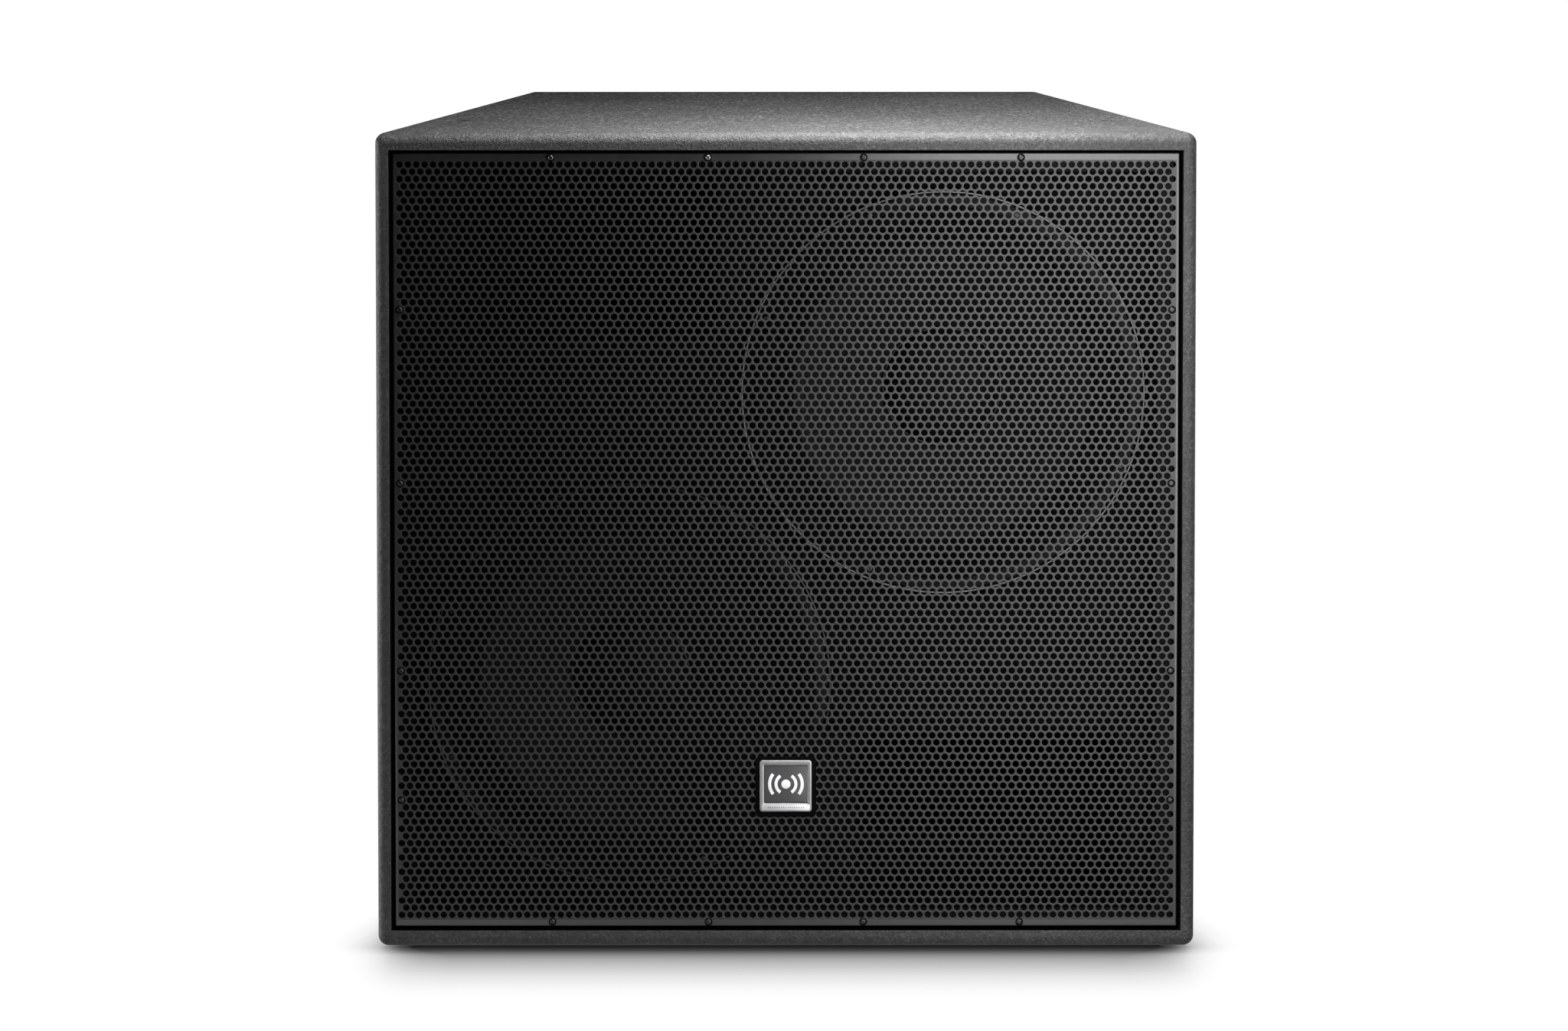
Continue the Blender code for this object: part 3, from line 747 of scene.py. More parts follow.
def head(radius, height, socket, depth, sides=6, sunk=0.0003, n=48, rim=0.25, cup=0.0):
    """A button screw head with a socket in it, along +Z."""
    rings = [circle(radius - 0.00005, -sunk, n), circle(radius, 0, n), circle(radius, height * rim, n)]
    for k in range(1, 8):
        t = math.pi / 2 * k / 7
        rings.append(circle(socket + cup + (radius - socket - cup) * math.cos(t), height * rim + height * (1 - rim) * math.sin(t), n))
    rings.append(polygon_ring(sides, socket, height - 0.00015, n))
    rings.append(polygon_ring(sides, socket * 0.97, height - depth, n))
    rings.append([(0, 0, height - depth - socket * 0.25)])
    return loft(rings)


def cross_head(radius, height, arm=0.00045, reach=0.55, depth=0.0009, n=48):
    """A domed head with a crossed recess, along +Z. The recess outline is a plus sign with n points."""
    a, b = arm, radius * reach
    plus = []
    corners = [(b, -a), (b, a), (a, a), (a, b), (-a, b), (-a, a), (-b, a), (-b, -a), (-a, -a), (-a, -b), (a, -b), (a, -a)]
    per = n // len(corners)
    for i, p in enumerate(corners):
        q = corners[(i + 1) % len(corners)]
        for k in range(per):
            u = k / per
            plus.append((p[0] * (1 - u) + q[0] * u, p[1] * (1 - u) + q[1] * u))
    start = math.atan2(-a, b)
    rings = [circle(radius, -0.0003, n, start), circle(radius, 0, n, start), circle(radius, height * 0.25, n, start)]
    for k in range(1, 6):
        t = math.radians(15 * k)
        rings.append(circle(radius * math.cos(t * 0.62), height * (0.25 + 0.75 * math.sin(t)), n, start))
    top = rings[-1][0][2]
    rings.append([(x, y, top + 0.00003) for x, y in plus])
    rings.append([(x * 0.9, y * 0.9, top - depth) for x, y in plus])
    rings.append([(0, 0, top - depth - 0.0002)])
    return loft(rings)


# ---------------------------------------------------------------- cabinet shell
def cabinet_shell():
    """Five coated panels as one continuous sprayed surface: rounded outside edges, and a small round-over on the front's inner edge."""
    pts = [(-half_width(Y0), Y0), (half_width(Y0), Y0), (half_width(Y1), Y1), (-half_width(Y1), Y1)]
    bm = bmesh.new()
    low = [bm.verts.new((x, y, 0)) for x, y in pts]
    high = [bm.verts.new((x, y, HEIGHT)) for x, y in pts]
    bm.faces.new(low[::-1])
    bm.faces.new(high)
    for i in range(4):
        j = (i + 1) % 4
        bm.faces.new([low[i], low[j], high[j], high[i]])
    bmesh.ops.recalc_face_normals(bm, faces=bm.faces[:])
    bmesh.ops.bevel(bm, geom=bm.edges[:], offset=EDGE_R, offset_type="OFFSET", segments=8, profile=0.5, affect="EDGES")
    mesh = bpy.data.meshes.new("cabinet_shell")
    bm.to_mesh(mesh)
    bm.free()
    shell = bpy.data.objects.new("cabinet_shell", mesh)
    SCENE.collection.objects.link(shell)

    z0, z1 = T_LID, HEIGHT - T_LID
    r = 1.0 * MM
    step = BAFFLE_Y - 0.0003
    front_z0, front_z1, front_in = z0 - 0.0002, z1 - 0.0010, T_LIP - 0.0005
    sections = [(Y0 - 0.02, half_width(Y0) - front_in + r, front_z0 - r, front_z1 + r)]
    for k in range(5):
        a = math.pi / 2 * k / 4
        y = Y0 + r * (1 - math.cos(a))
        g = r * (1 - math.sin(a))
        sections.append((y, half_width(y) - front_in + g, front_z0 - g, front_z1 + g))
    sections += [(step, half_width(step) - front_in, front_z0, front_z1), (step, half_width(step) - T_SIDE, z0, z1), (Y1 - 0.018, half_width(Y1 - 0.018) - T_SIDE, z0, z1)]
    rings = [[(-a, y, p), (a, y, p), (a, y, q), (-a, y, q)] for y, a, p, q in sections]
    cut(shell, raw("cutter", *loft(rings)))

    # the recess behind the input panel, and the hole that its well passes through
    lo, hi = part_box("input_panel")
    cx, cz = (lo.x + hi.x) / 2, (lo.z + hi.z) / 2
    hw, hh = (hi.x - lo.x) / 2 + 0.0005, (hi.z - lo.z) / 2 + 0.0005
    floor_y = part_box("input_gasket")[0].y - 0.0003
    mouth = rr_grow(cx - hw, cx + hw, cz - hh, cz + hh, 0.0065)
    through = rr_grow(cx - 0.0865, cx + 0.0865, cz - 0.0465, cz + 0.0465, 0.0065)
    rings = [[(x, Y1 + 0.01, z) for x, z in mouth(0.0008)], [(x, Y1, z) for x, z in mouth(0.0008)]]
    for k in range(1, 4):
        a = math.pi / 2 * k / 3
        rings.append([(x, Y1 - 0.0008 * (1 - math.cos(a)), z) for x, z in mouth(0.0008 * (1 - math.sin(a)))])
    rings += [[(x, floor_y, z) for x, z in mouth(0.0)], [(x, floor_y, z) for x, z in through(0.0)], [(x, Y1 - 0.03, z) for x, z in through(0.0)]]
    cut(shell, raw("cutter", *loft(rings)))

    # pockets for the suspension inserts, with a rounded mouth
    pockets = []
    for name, (at, axis) in POINTS.items():
        prof = [circle(0.0124, 0.004), circle(0.0124, 0.0)]
        for k in range(1, 4):
            a = math.pi / 2 * k / 3
            prof.append(circle(0.0114 + 0.001 * (1 - math.sin(a)), -0.001 * (1 - math.cos(a))))
        prof.append(circle(0.0114, -0.0068))
        pockets.append(facing(loft(prof), at, axis))
    cut(shell, raw("cutter", *joined(*pockets)))
    dress(shell, "coating", replaces=("top_panel", "bottom_panel", "left_side_panel", "right_side_panel", "rear_panel"), angle=32, weighted=True)
    # the faces that look into the box get the near-black of the baffle, which paints in the shade behind the grille
    shell.data.materials.append(M["inner"])
    for f in shell.data.polygons:
        x, y, z = f.center
        if Y0 + r * 0.8 < y < Y1 - 0.0175 and abs(x) < half_width(y) - front_in + 0.0004 and front_z0 - 0.0004 < z < front_z1 + 0.0004:
            f.material_index = 1
    return shell


def suspension_places():
    """Where each insert sits: the centre of its mouth on the panel's face, and the way it faces."""
    out = {}
    for name in sorted(n for n in NODES if n.endswith("_point")):
        lo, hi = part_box(name)
        c = (lo + hi) / 2
        if name.startswith("top_"):
            out[name] = (Vector((c.x, c.y, HEIGHT)), "+Z")
        elif name.startswith("bottom_"):
            out[name] = (Vector((c.x, c.y, 0.0)), "-Z")
        else:
            out[name] = (Vector((c.x, Y1, c.z)), "+Y")
    return out


POINTS = suspension_places()
cabinet_shell()


def suspension_point():
    """Flanged steel insert closed by a flat hex-socket plug screw, top face at the local origin's plane less 0.4 mm."""
    n = 48
    t = -0.0004
    rings = [circle(0.0108, -0.0064, n), circle(0.0110, -0.0060, n), circle(0.0110, t - 0.0007, n)]
    for k in range(1, 4):
        a = math.pi / 2 * k / 3
        rings.append(circle(0.0103 + 0.0007 * math.cos(a), t - 0.0007 + 0.0007 * math.sin(a), n))
    rings += [circle(0.0088, t, n), circle(0.0085, t - 0.0005, n), circle(0.0082, t - 0.0005, n), circle(0.0079, t - 0.0001, n)]
    rings += [circle(0.0045, t - 0.0001, n), polygon_ring(6, 0.0041, t - 0.0005, n), polygon_ring(6, 0.0040, t - 0.0042, n), [(0, 0, t - 0.0050)]]
    return loft(rings)


for name, (at, axis) in POINTS.items():
    dress(raw(f"{name}_insert", *facing(suspension_point(), at, axis, 0.3)), "insert", replaces=(name,), angle=40, weighted=True)


# ---------------------------------------------------------------- baffle, ducts, rails
def give(node, look):
    for s in NODES[node].material_slots:
        s.material = M[look]


give("front_baffle", "inner")
for side in ("top", "bottom", "left", "right"):
    give(f"grille_rail_{side}", "inner")


def duct(name, flip):
    lo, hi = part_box(name)
    wall = 0.009
    end = hi.y
    x0, x1, z0, z1 = lo.x + wall, hi.x - wall, lo.z + wall, hi.z - wall
    inner, outer = rr_grow(x0, x1, z0, z1, 0.018, 10), rr_grow(lo.x, hi.x, lo.z, hi.z, 0.027, 10)
    rings = []
    flare = 0.0080
    rings.append([(x, BAFFLE_Y, z) for x, z in outer(0)])
    for k in range(9):
        a = math.pi / 2 * k / 8
        rings.append([(x, BAFFLE_Y + flare * (1 - math.cos(a)), z) for x, z in inner(flare * (1 - math.sin(a)))])
    rings.append([(x, end, z) for x, z in inner(0)])
    rings.append([(x, end, z) for x, z in outer(0)])
    dress(raw(f"{name}_flared", *loft(rings, closed=True)), "inner", replaces=(name,), angle=40)


duct("lower_port_duct", False)
duct("upper_port_duct", True)


# ---------------------------------------------------------------- perforated grille
PITCH = 7.9375 * MM
ROW = PITCH * math.sqrt(3) / 2
HOLE_R = 3.175 * MM
ROLL = math.radians(20)
ROWS = 105
MID_Z = (GRILLE_LO.z + GRILLE_HI.z) / 2
FIELD_X = 46.5 * PITCH
FIELD_Z = (ROWS - 1) / 2 * ROW + PITCH / math.sqrt(3)


def grille_rows(name, first, last):
    """Rows of round holes punched in 1.5 mm sheet. Each hole is a 12-sided ring in its own hexagon, and hexagons share their corners."""
    cells, fills = [], []
    for k in range(first, last + 1):
        if k % 2 == 0:
            xs = [2 * (j - 46) for j in range(93)]
        else:
            xs = [2 * j - 91 for j in range(92)]
        cells += [(x, 3 * (k - 52)) for x in xs]
        c = 3 * (k - 52)
        if k % 2 == 1:
            fills.append(((92, c - 1), (93, c - 2), (93, c + 2)))
            fills.append(((92, c - 1), (93, c + 2), (92, c + 1)))
            fills.append(((-92, c - 1), (-92, c + 1), (-93, c + 2)))
            fills.append(((-92, c - 1), (-93, c + 2), (-93, c - 2)))
        for s, edge in ((-1, 0), (1, ROWS - 1)):
            if k == edge:
                for x in xs[:-1]:
                    t = ((x, c + 2 * s), (x + 1, c + s), (x + 2, c + 2 * s))
                    fills.append(t if s > 0 else t[::-1])
                for e in (-1, 1):
                    t = ((92 * e, c + 2 * s), (93 * e, c + s), (93 * e, c + 2 * s))
                    fills.append(t if s * e > 0 else t[::-1])
    keys = {}

    def key(p):
        return keys.setdefault(p, len(keys))

    corner = [(1, 1), (0, 2), (-1, 1), (-1, -1), (0, -2), (1, -1)]
    cells = np.array(cells)
    n = len(cells)
    hexes = np.array([[key((x + a, z + b)) for a, b in corner] for x, z in cells.tolist()])
    fill = np.array([[key(p) for p in t] for t in fills], int).reshape(-1, 3)
    grid = np.array(list(keys), float)
    v_xz = grid * [PITCH / 2, ROW / 3]
    ang = np.arange(12) * math.pi / 6
    centres = cells * [PITCH / 2, ROW / 3]
    h_xz = (centres[:, None, :] + HOLE_R * np.stack([np.cos(ang), np.sin(ang)], 1)[None]).reshape(-1, 2)
    base = len(v_xz)
    ring = base + np.arange(n * 12).reshape(n, 12)
    tris = []
    for i in range(6):
        a, b = hexes[:, i], hexes[:, (i + 1) % 6]
        h1, h2, h3 = ring[:, (2 * i + 1) % 12], ring[:, (2 * i + 2) % 12], ring[:, (2 * i + 3) % 12]
        tris += [np.stack([a, h2, h1], 1), np.stack([a, b, h2], 1), np.stack([b, h3, h2], 1)]
    tris = np.concatenate(tris + [fill])
    xz = np.concatenate([v_xz, h_xz])
    # seen from the front, +x to the right and +z up, these turn anticlockwise, so their normal points to -y
    d1, d2 = xz[tris[:, 1]] - xz[tris[:, 0]], xz[tris[:, 2]] - xz[tris[:, 0]]
    wrong = d1[:, 0] * d2[:, 1] - d1[:, 1] * d2[:, 0] < 0
    tris[wrong] = tris[wrong][:, ::-1]
    nv = len(xz)
    edges = np.concatenate([tris[:, [0, 1]], tris[:, [1, 2]], tris[:, [2, 0]]])
    code = edges[:, 0].astype(np.int64) * nv + edges[:, 1]
    back = edges[:, 1].astype(np.int64) * nv + edges[:, 0]
    border = edges[~np.isin(code, back)]
    walls = np.stack([border[:, 1], border[:, 0], border[:, 0] + nv, border[:, 1] + nv], 1)
    co = np.empty((2 * nv, 3))
    co[:nv, 0], co[nv:, 0] = xz[:, 0], xz[:, 0]
    co[:nv, 2], co[nv:, 2] = xz[:, 1] + MID_Z, xz[:, 1] + MID_Z
    co[:nv, 1], co[nv:, 1] = GRILLE_Y, GRILLE_Y + GRILLE_T
    flat = np.concatenate([tris.ravel(), (tris[:, ::-1] + nv).ravel(), walls.ravel()])
    sizes = np.concatenate([np.full(2 * len(tris), 3), np.full(len(walls), 4)])
    mesh = bpy.data.meshes.new(name)
    mesh.vertices.add(len(co))
    mesh.vertices.foreach_set("co", co.astype(np.float32).ravel())
    mesh.loops.add(len(flat))
    mesh.loops.foreach_set("vertex_index", flat.astype(np.int32))
    mesh.polygons.add(len(sizes))
    mesh.polygons.foreach_set("loop_start", np.concatenate([[0], np.cumsum(sizes)[:-1]]).astype(np.int32))
    smooth = np.zeros(len(sizes), bool)
    smooth[2 * len(tris):] = True
    mesh.polygons.foreach_set("use_smooth", smooth)
    mesh.update(calc_edges=True)
    mesh.validate()
    # the rim of each hole stays sharp
    pair = np.zeros(len(mesh.edges) * 2, np.int32)
    mesh.edges.foreach_get("vertices", pair)
    pair = pair.reshape(-1, 2)
    rim = (pair[:, 0] < nv) == (pair[:, 1] < nv)
    rim &= np.minimum(pair[:, 0], pair[:, 1]) >= 0
    sharp = mesh.attributes.new("sharp_edge", "BOOLEAN", "EDGE")
    sharp.data.foreach_set("value", rim)
    # the punch rolls the rim of each hole over, which shows in the shading of the front face
    inward = np.zeros((2 * nv, 3))
    inward[base:nv, [0, 2]] = -np.tile(np.stack([np.cos(ang), np.sin(ang)], 1), (n, 1))
    inward[nv:] = inward[:nv]
    on_rim = np.zeros(2 * nv, bool)
    on_rim[base:nv] = True
    on_rim[nv + base:] = True
    front_v, back_v, wall_v = tris.ravel(), (tris[:, ::-1] + nv).ravel(), walls.ravel()
    front_n = inward[front_v] * math.sin(ROLL)
    front_n[:, 1] = np.where(on_rim[front_v], -math.cos(ROLL), -1.0)
    back_n = np.tile([0.0, 1.0, 0.0], (len(back_v), 1))
    e = co[walls[:, 1]] - co[walls[:, 0]]
    flat_n = np.stack([-e[:, 2], np.zeros(len(e)), e[:, 0]], 1)
    flat_n /= np.linalg.norm(flat_n, axis=1)[:, None]
    down = co[walls[:, 2]] - co[walls[:, 1]]
    flat_n *= np.sign((np.cross(e, down) * flat_n).sum(1))[:, None]
    wall_n = np.where(on_rim[wall_v][:, None], inward[wall_v], np.repeat(flat_n, 4, 0))
    mesh.normals_split_custom_set(np.concatenate([front_n, back_n, wall_n]).tolist())
    obj = bpy.data.objects.new(name, mesh)
    SCENE.collection.objects.link(obj)
    return dress(obj, "grille", replaces=("grille",), shade=False)


for i, (first, last) in enumerate(((0, 26), (27, 52), (53, 78), (79, 104))):
    grille_rows(f"grille_sheet_{i + 1}", first, last)


def grille_flange():
    """The plain margin of the grille, bent back all round. Its inner edge meets the punched field."""
    r = 1.6 * MM
    y0, y1 = GRILLE_Y, GRILLE_HI.y
    prof = [("field", y0)]
    for k in range(6):
        a = math.pi / 2 * k / 5
        prof.append((r - r * math.sin(a), y0 + r * (1 - math.cos(a))))
    prof += [(0.0, y1 - 0.0002), (0.0002, y1), (GRILLE_T - 0.0002, y1), (GRILLE_T, y1 - 0.0002), (GRILLE_T, y0 + GRILLE_T + 0.0004), (GRILLE_T + 0.0004, y0 + GRILLE_T), ("field", y0 + GRILLE_T)]
    rings = []
    for s, y in prof:
        if s == "field":
            a, z0, z1 = FIELD_X, MID_Z - FIELD_Z, MID_Z + FIELD_Z
        else:
            a, z0, z1 = GRILLE_HI.x - s, GRILLE_LO.z + s, GRILLE_HI.z - s
        rings.append([(-a, y, z0), (a, y, z0), (a, y, z1), (-a, y, z1)])
    dress(raw("grille_flange", *loft(rings, closed=True)), "margin", replaces=("grille",), angle=40, weighted=True)


grille_flange()

# grille screws: four along the top, four along the bottom, four down each side in place of a hole
spots = [(x, z) for z in (MID_Z + 364.2 * MM, MID_Z - 364.2 * MM) for x in (-222 * MM, -73.5 * MM, 73.5 * MM, 222 * MM)]
spots += [(s * 365.1 * MM, MID_Z + k * ROW) for s in (-1, 1) for k in (32, 8, -18, -36)]
for i, (x, z) in enumerate(spots):
    # a black ring under each head, showing as a dark surround round it
    washer = [(1.5, -0.7), (3.2, -0.7), (3.5, -0.6), (3.7, -0.3), (3.7, 0.1), (1.5, 0.1)]
    dress(raw(f"grille_screw_dark_ring_{i + 1}", *lathe(washer, (x, GRILLE_Y, z), 40)), "pad", angle=40)
    part = facing(head(2.7 * MM, 2.0 * MM, 1.1 * MM, 1.1 * MM, sunk=0.0002, rim=0.12), (x, GRILLE_Y - 0.0006, z), "-Y", 0.4 * i)
    # the two heads at the top left take lighter copies of the same zinc, as painted highlights
    head_highlight = "screw_painted_dim_highlight" if i == 0 else "grille_screw" if i == 1 else "side_screw"
    dress(raw(f"grille_screw_{i + 1}", *part), head_highlight, angle=40)


# ---------------------------------------------------------------- badge
def badge():
    lo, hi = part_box("badge_backing")
    cx, cz = (lo.x + hi.x) / 2, (lo.z + hi.z) / 2
    h = (hi.x - lo.x) / 2
    dress(raw("badge_back_plate", *slab(rr_grow(cx - h, cx + h, cz - h, cz + h, 0.004), lo.y, hi.y, 0.0003)), "pad", replaces=("badge_backing",), angle=40)
    # black pad behind the sheet round the badge, darkening the holes next to it
    y = GRILLE_Y + GRILLE_T + 0.0001
    dress(raw("badge_dark_surround", *slab(rr_grow(cx - 0.0575, cx + 0.0575, cz - 0.052, cz + 0.052, 0.006), y, y + 0.0022, 0.0004)), "pad")
    lo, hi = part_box("badge_bezel")
    b = (hi.x - lo.x) / 2
    wx0, wx1, wz0, wz1 = cx - 0.0207, cx + 0.0205, cz - 0.0156, cz + 0.0203
    ox0, ox1, oz0, oz1 = cx - b + 0.0006, cx + b - 0.0010, cz - b + 0.0016, cz + b
    outer, window = rr_grow(ox0, ox1, oz0, oz1, 0.0026), rr_grow(wx0, wx1, wz0, wz1, 0.0008)
    f = lo.y
    # black sheet a little larger than the badge, in front of the grille sheet, showing as a narrow dark border round it
    dress(raw("badge_dark_border", *slab(rr_grow(ox0 - 0.0026, ox1 + 0.0026, oz0 - 0.0024, oz1 + 0.0026, 0.004), GRILLE_Y - 0.0006, GRILLE_Y - 0.00005, 0.0002)), "pad", angle=40)
    # satin band across the foot of the frame, with a row of small sunk dots
    bz0, bz1 = oz0 + 0.0013, wz0 - 0.0012
    dress(raw("badge_band", *slab(rr_grow(ox0 + 0.0018, ox1 - 0.0018, bz0, bz1, 0.0006), f - 0.00012, f + 0.0003, 0.0001)), "band", angle=40)
    dots = []
    for k in range(17):
        dx, dz = cx + (k - 8) * 0.0021, (bz0 + bz1) / 2
        spot = [[(dx + q * math.cos(2 * math.pi * j / 16), y, dz + q * 1.5 * math.sin(2 * math.pi * j / 16)) for j in range(16)] for q, y in ((0.00042, f - 0.0001), (0.00042, f - 0.00022), (0.0003, f - 0.00026))]
        dots.append(loft(spot))
    dress(raw("badge_band_dots", *joined(*dots)), "field", angle=40)

    def ring(outline, y):
        return [(x, y, z) for x, z in outline]

    rings = [
        ring(outer(0), hi.y), ring(outer(0), f + 0.0006), ring(outer(-0.0001), f + 0.00035), ring(outer(-0.0003), f + 0.00018), ring(outer(-0.0007), f + 0.00004),
        ring(outer(-0.0012), f), ring(window(0.0008), f), ring(window(0.00035), f + 0.00012), ring(window(0.0001), f + 0.00035), ring(window(0), f + 0.0006), ring(window(0), hi.y),
    ]
    dress(raw("badge_frame", *loft(rings, closed=True)), "silver", replaces=("badge_bezel",), angle=50)
    lo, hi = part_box("badge_insert")
    dress(raw("badge_plate", *slab(rr_grow(lo.x, hi.x, lo.z, hi.z, 0.0006), lo.y + 0.0001, hi.y, 0.00015)), "field", replaces=("badge_insert",), angle=50)
    # the mark: a dot between two pairs of arcs
    mz = (lo.z + hi.z) / 2
    y0, y1 = lo.y - 0.00025, lo.y + 0.0002

    def arc(r0, r1, mid, half):
        def outline(g):
            pts = []
            n = 20
            hh0, hh1 = math.radians(half) + g / r0, math.radians(half) + g / r1
            for k in range(n + 1):
                a = math.radians(mid) - hh1 + 2 * hh1 * k / n
                pts.append((cx + (r1 + g) * math.cos(a), mz + (r1 + g) * math.sin(a)))
            for k in range(n + 1):
                a = math.radians(mid) + hh0 - 2 * hh0 * k / n
                pts.append((cx + (r0 - g) * math.cos(a), mz + (r0 - g) * math.sin(a)))
            return pts

        return slab(outline, y0, y1, 0.0001, 2)

    def dot(r):
        def outline(g):
            return [(cx + (r + g) * math.cos(2 * math.pi * k / 48), mz + (r + g) * math.sin(2 * math.pi * k / 48)) for k in range(48)]

        return slab(outline, y0, y1, 0.0001, 2)

    parts = [dot(0.0043)]
    for mid in (0, 180):
        parts += [arc(0.0080, 0.0109, mid, 56), arc(0.0140, 0.0170, mid, 38)]
    dress(raw("badge_mark", *joined(*parts)), "mark", angle=40)


badge()


# ---------------------------------------------------------------- drivers
def radial_blend(obj, centre):
    """Bakes obj's placement into its mesh and reads its vertex positions; it sets no blend."""
    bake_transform(obj)
    co = np.zeros(len(obj.data.vertices) * 3, np.float32)
    obj.data.vertices.foreach_get("co", co)
    co = co.reshape(-1, 3)


def thick(curve, t):
    """A closed outline: an open curve and the same curve offset by t behind it."""
    pts = [Vector(p) for p in curve]
    back = []
    for i, p in enumerate(pts):
        d = (pts[min(i + 1, len(pts) - 1)] - pts[max(i - 1, 0)]).normalized()
        nrm = Vector((-d.y, d.x))
        if nrm.y < 0:
            nrm = -nrm
        back.append(p + nrm * t)
    return [tuple(p) for p in pts] + [tuple(p) for p in back[::-1]]


def driver(which):
    c = DRIVERS[which]
    body = f"{which}_cone_assembly"
    # cast frame with a raised bead round its rim, and six windows
    bead = [(190.7 + 2.3 * math.cos(math.radians(a)), 0.6 - 2.3 * math.sin(math.radians(a))) for a in range(180, -1, -20)]
    prof = [(166.6, 0.2), (186.0, 0.2), (187.4, 0.5)] + bead + [(193.5, 2.4), (193.5, 8.7), (176.0, 8.7)]
    prof += rounded([(176, 8.7, 0), (171.5, 34, 4), (112, 98.5, 5), (103, 111.7, 0), (60, 111.7, 0.5), (60, 106, 0.5), (96, 106, 2), (96, 92.3, 0), (108.5, 92.3, 3), (166, 30, 4)], 4)[1:]
    basket = raw(f"{which}_frame", *lathe(prof, c, 144))
    windows = []
    for k in range(6):
        a = math.radians(60 * k)
        e, t = Vector((math.cos(a), 0, math.sin(a))), Vector((-math.sin(a), 0, math.cos(a)))
        outline = rounded([(-0.042, 0.042, 0.010), (0.042, 0.042, 0.010), (0.042, 0.086, 0.010), (-0.042, 0.086, 0.010)], 4)
        rings = [[tuple(Vector(c) + e * r + t * w + Vector((0, u, 0))) for w, u in outline] for r in (0.090, 0.200)]
        windows.append(loft(rings))
    for w in windows:
        cut(basket, raw("cutter", *w))
    dress(basket, "casting", replaces=(f"{which}_basket",), angle=32)
    # machined edge left bright on top of the bead; the lower driver's copy is darker, as painted shade
    rim = [(190.9 + 1.15 * math.cos(math.radians(a)), -1.35 + 1.15 * math.sin(math.radians(a))) for a in range(0, 360, 30)]
    dress(raw(f"{which}_frame_rim", *lathe(rim, c, 180)), "rim" if which == "upper" else "rim_painted_shade", angle=60)
    # frame bolts
    for k in range(8):
        a = math.radians(22.5 + 45 * k)
        at = (c[0] + 0.1822 * math.cos(a), c[1] + 0.0002, c[2] + 0.1822 * math.sin(a))
        dress(raw(f"{which}_frame_bolt_{k + 1}", *facing(head(3.4 * MM, 2.6 * MM, 1.6 * MM, 1.5 * MM), at, "-Y", 0.5 * k)), "screw", angle=40)
    # gasket ring over the surround's flat edge
    g = rounded([(164, -1.4, 0.3), (164, -4.0, 1.0), (177.6, -4.0, 1.0), (177.6, -1.4, 0.3)], 5)
    dress(raw(f"{which}_gasket_ring", *lathe(g, c, 144)), "foam", replaces=(f"{which}_gasket",), angle=50)
    # accordion surround: three rolls
    top = [(177.0, -1.1), (168.0, -1.1)]
    n = 66
    for k in range(n + 1):
        s = k / n
        r = 164.5 - s * (164.5 - 144.0)
        u = -1.1 + 4.6 * s**1.6 - 2.1 * (1 - math.cos(2 * math.pi * 3 * s)) / 2 * min(1.0, 2.2 * (1 - s) + 0.25)
        top.append((r, u))
    top += [(141.2, 5.6)]
    s_obj = raw(f"{which}_accordion_surround", *lathe(thick(top, 0.75), c, 144))
    dress(s_obj, "surround", body=None, replaces=(f"{which}_surround",), angle=60)
    radial_blend(s_obj, c)
    # paper cone: slightly curved, with pressed rings
    front = spline([(147.0, 3.9), (124.0, 18.5), (100.0, 34.6), (76.0, 50.9), (52.5, 66.0)], 24)
    pressed = []
    for r, u in front:
        for rc in (132.0, 116.0, 100.0, 84.0):
            u -= 0.9 * math.exp(-(((r - rc) / 1.7) ** 2))
        pressed.append((r, u))
    cone = raw(f"{which}_ribbed_cone", *lathe(thick(pressed, 1.6), c, 144))
    dress(cone, "paper", body=body, replaces=(f"{which}_cone",), angle=60)
    # dust cap and the bead of glue round it
    cap = spline([(0.0, 42.0), (14.0, 42.8), (28.0, 45.4), (40.0, 49.6), (50.0, 55.9), (54.4, 60.6), (55.9, 63.0)], 6)
    back = [(53.0, 62.8), (49.0, 58.2), (38.5, 51.4), (21.5, 46.0), (0.0, 43.9)]
    dress(raw(f"{which}_dome_cap", *lathe(cap + back, c, 144, closed=False)), "cap", body=body, replaces=(f"{which}_dust_cap",), angle=60)
    gb = [(56.3 + 1.7 * math.cos(math.radians(a)), 62.4 + 1.5 * math.sin(math.radians(a))) for a in range(0, 360, 36)]
    dress(raw(f"{which}_glue_bead", *lathe(gb, c, 144)), "glue", body=body, angle=60)
    # corrugated spider, from the voice coil to the frame's shelf
    top = []
    for k in range(91):
        s = k / 90
        r = 107.4 - s * (107.4 - 52.6)
        fade = min(1.0, 6 * s, 6 * (1 - s))
        top.append((r, 91.2 - 0.8 * s + 1.8 * fade * math.sin(2 * math.pi * 6.5 * s)))
    sp = raw(f"{which}_corrugated_spider", *lathe(thick(top, 0.7), c, 96))
    dress(sp, "spider", body=None, replaces=(f"{which}_spider",), angle=60)
    radial_blend(sp, c)
    give(f"{which}_voice_coil", "coil")
    give(f"{which}_top_plate", "zinc")
    give(f"{which}_magnet", "ferrite")
    give(f"{which}_back_plate", "zinc")
    give(f"{which}_terminal_block", "strip")
    give(f"{which}_lead", "rubber")


driver("upper")
driver("lower")
give("window_brace", "wood")
give("rear_lining", "fibre")


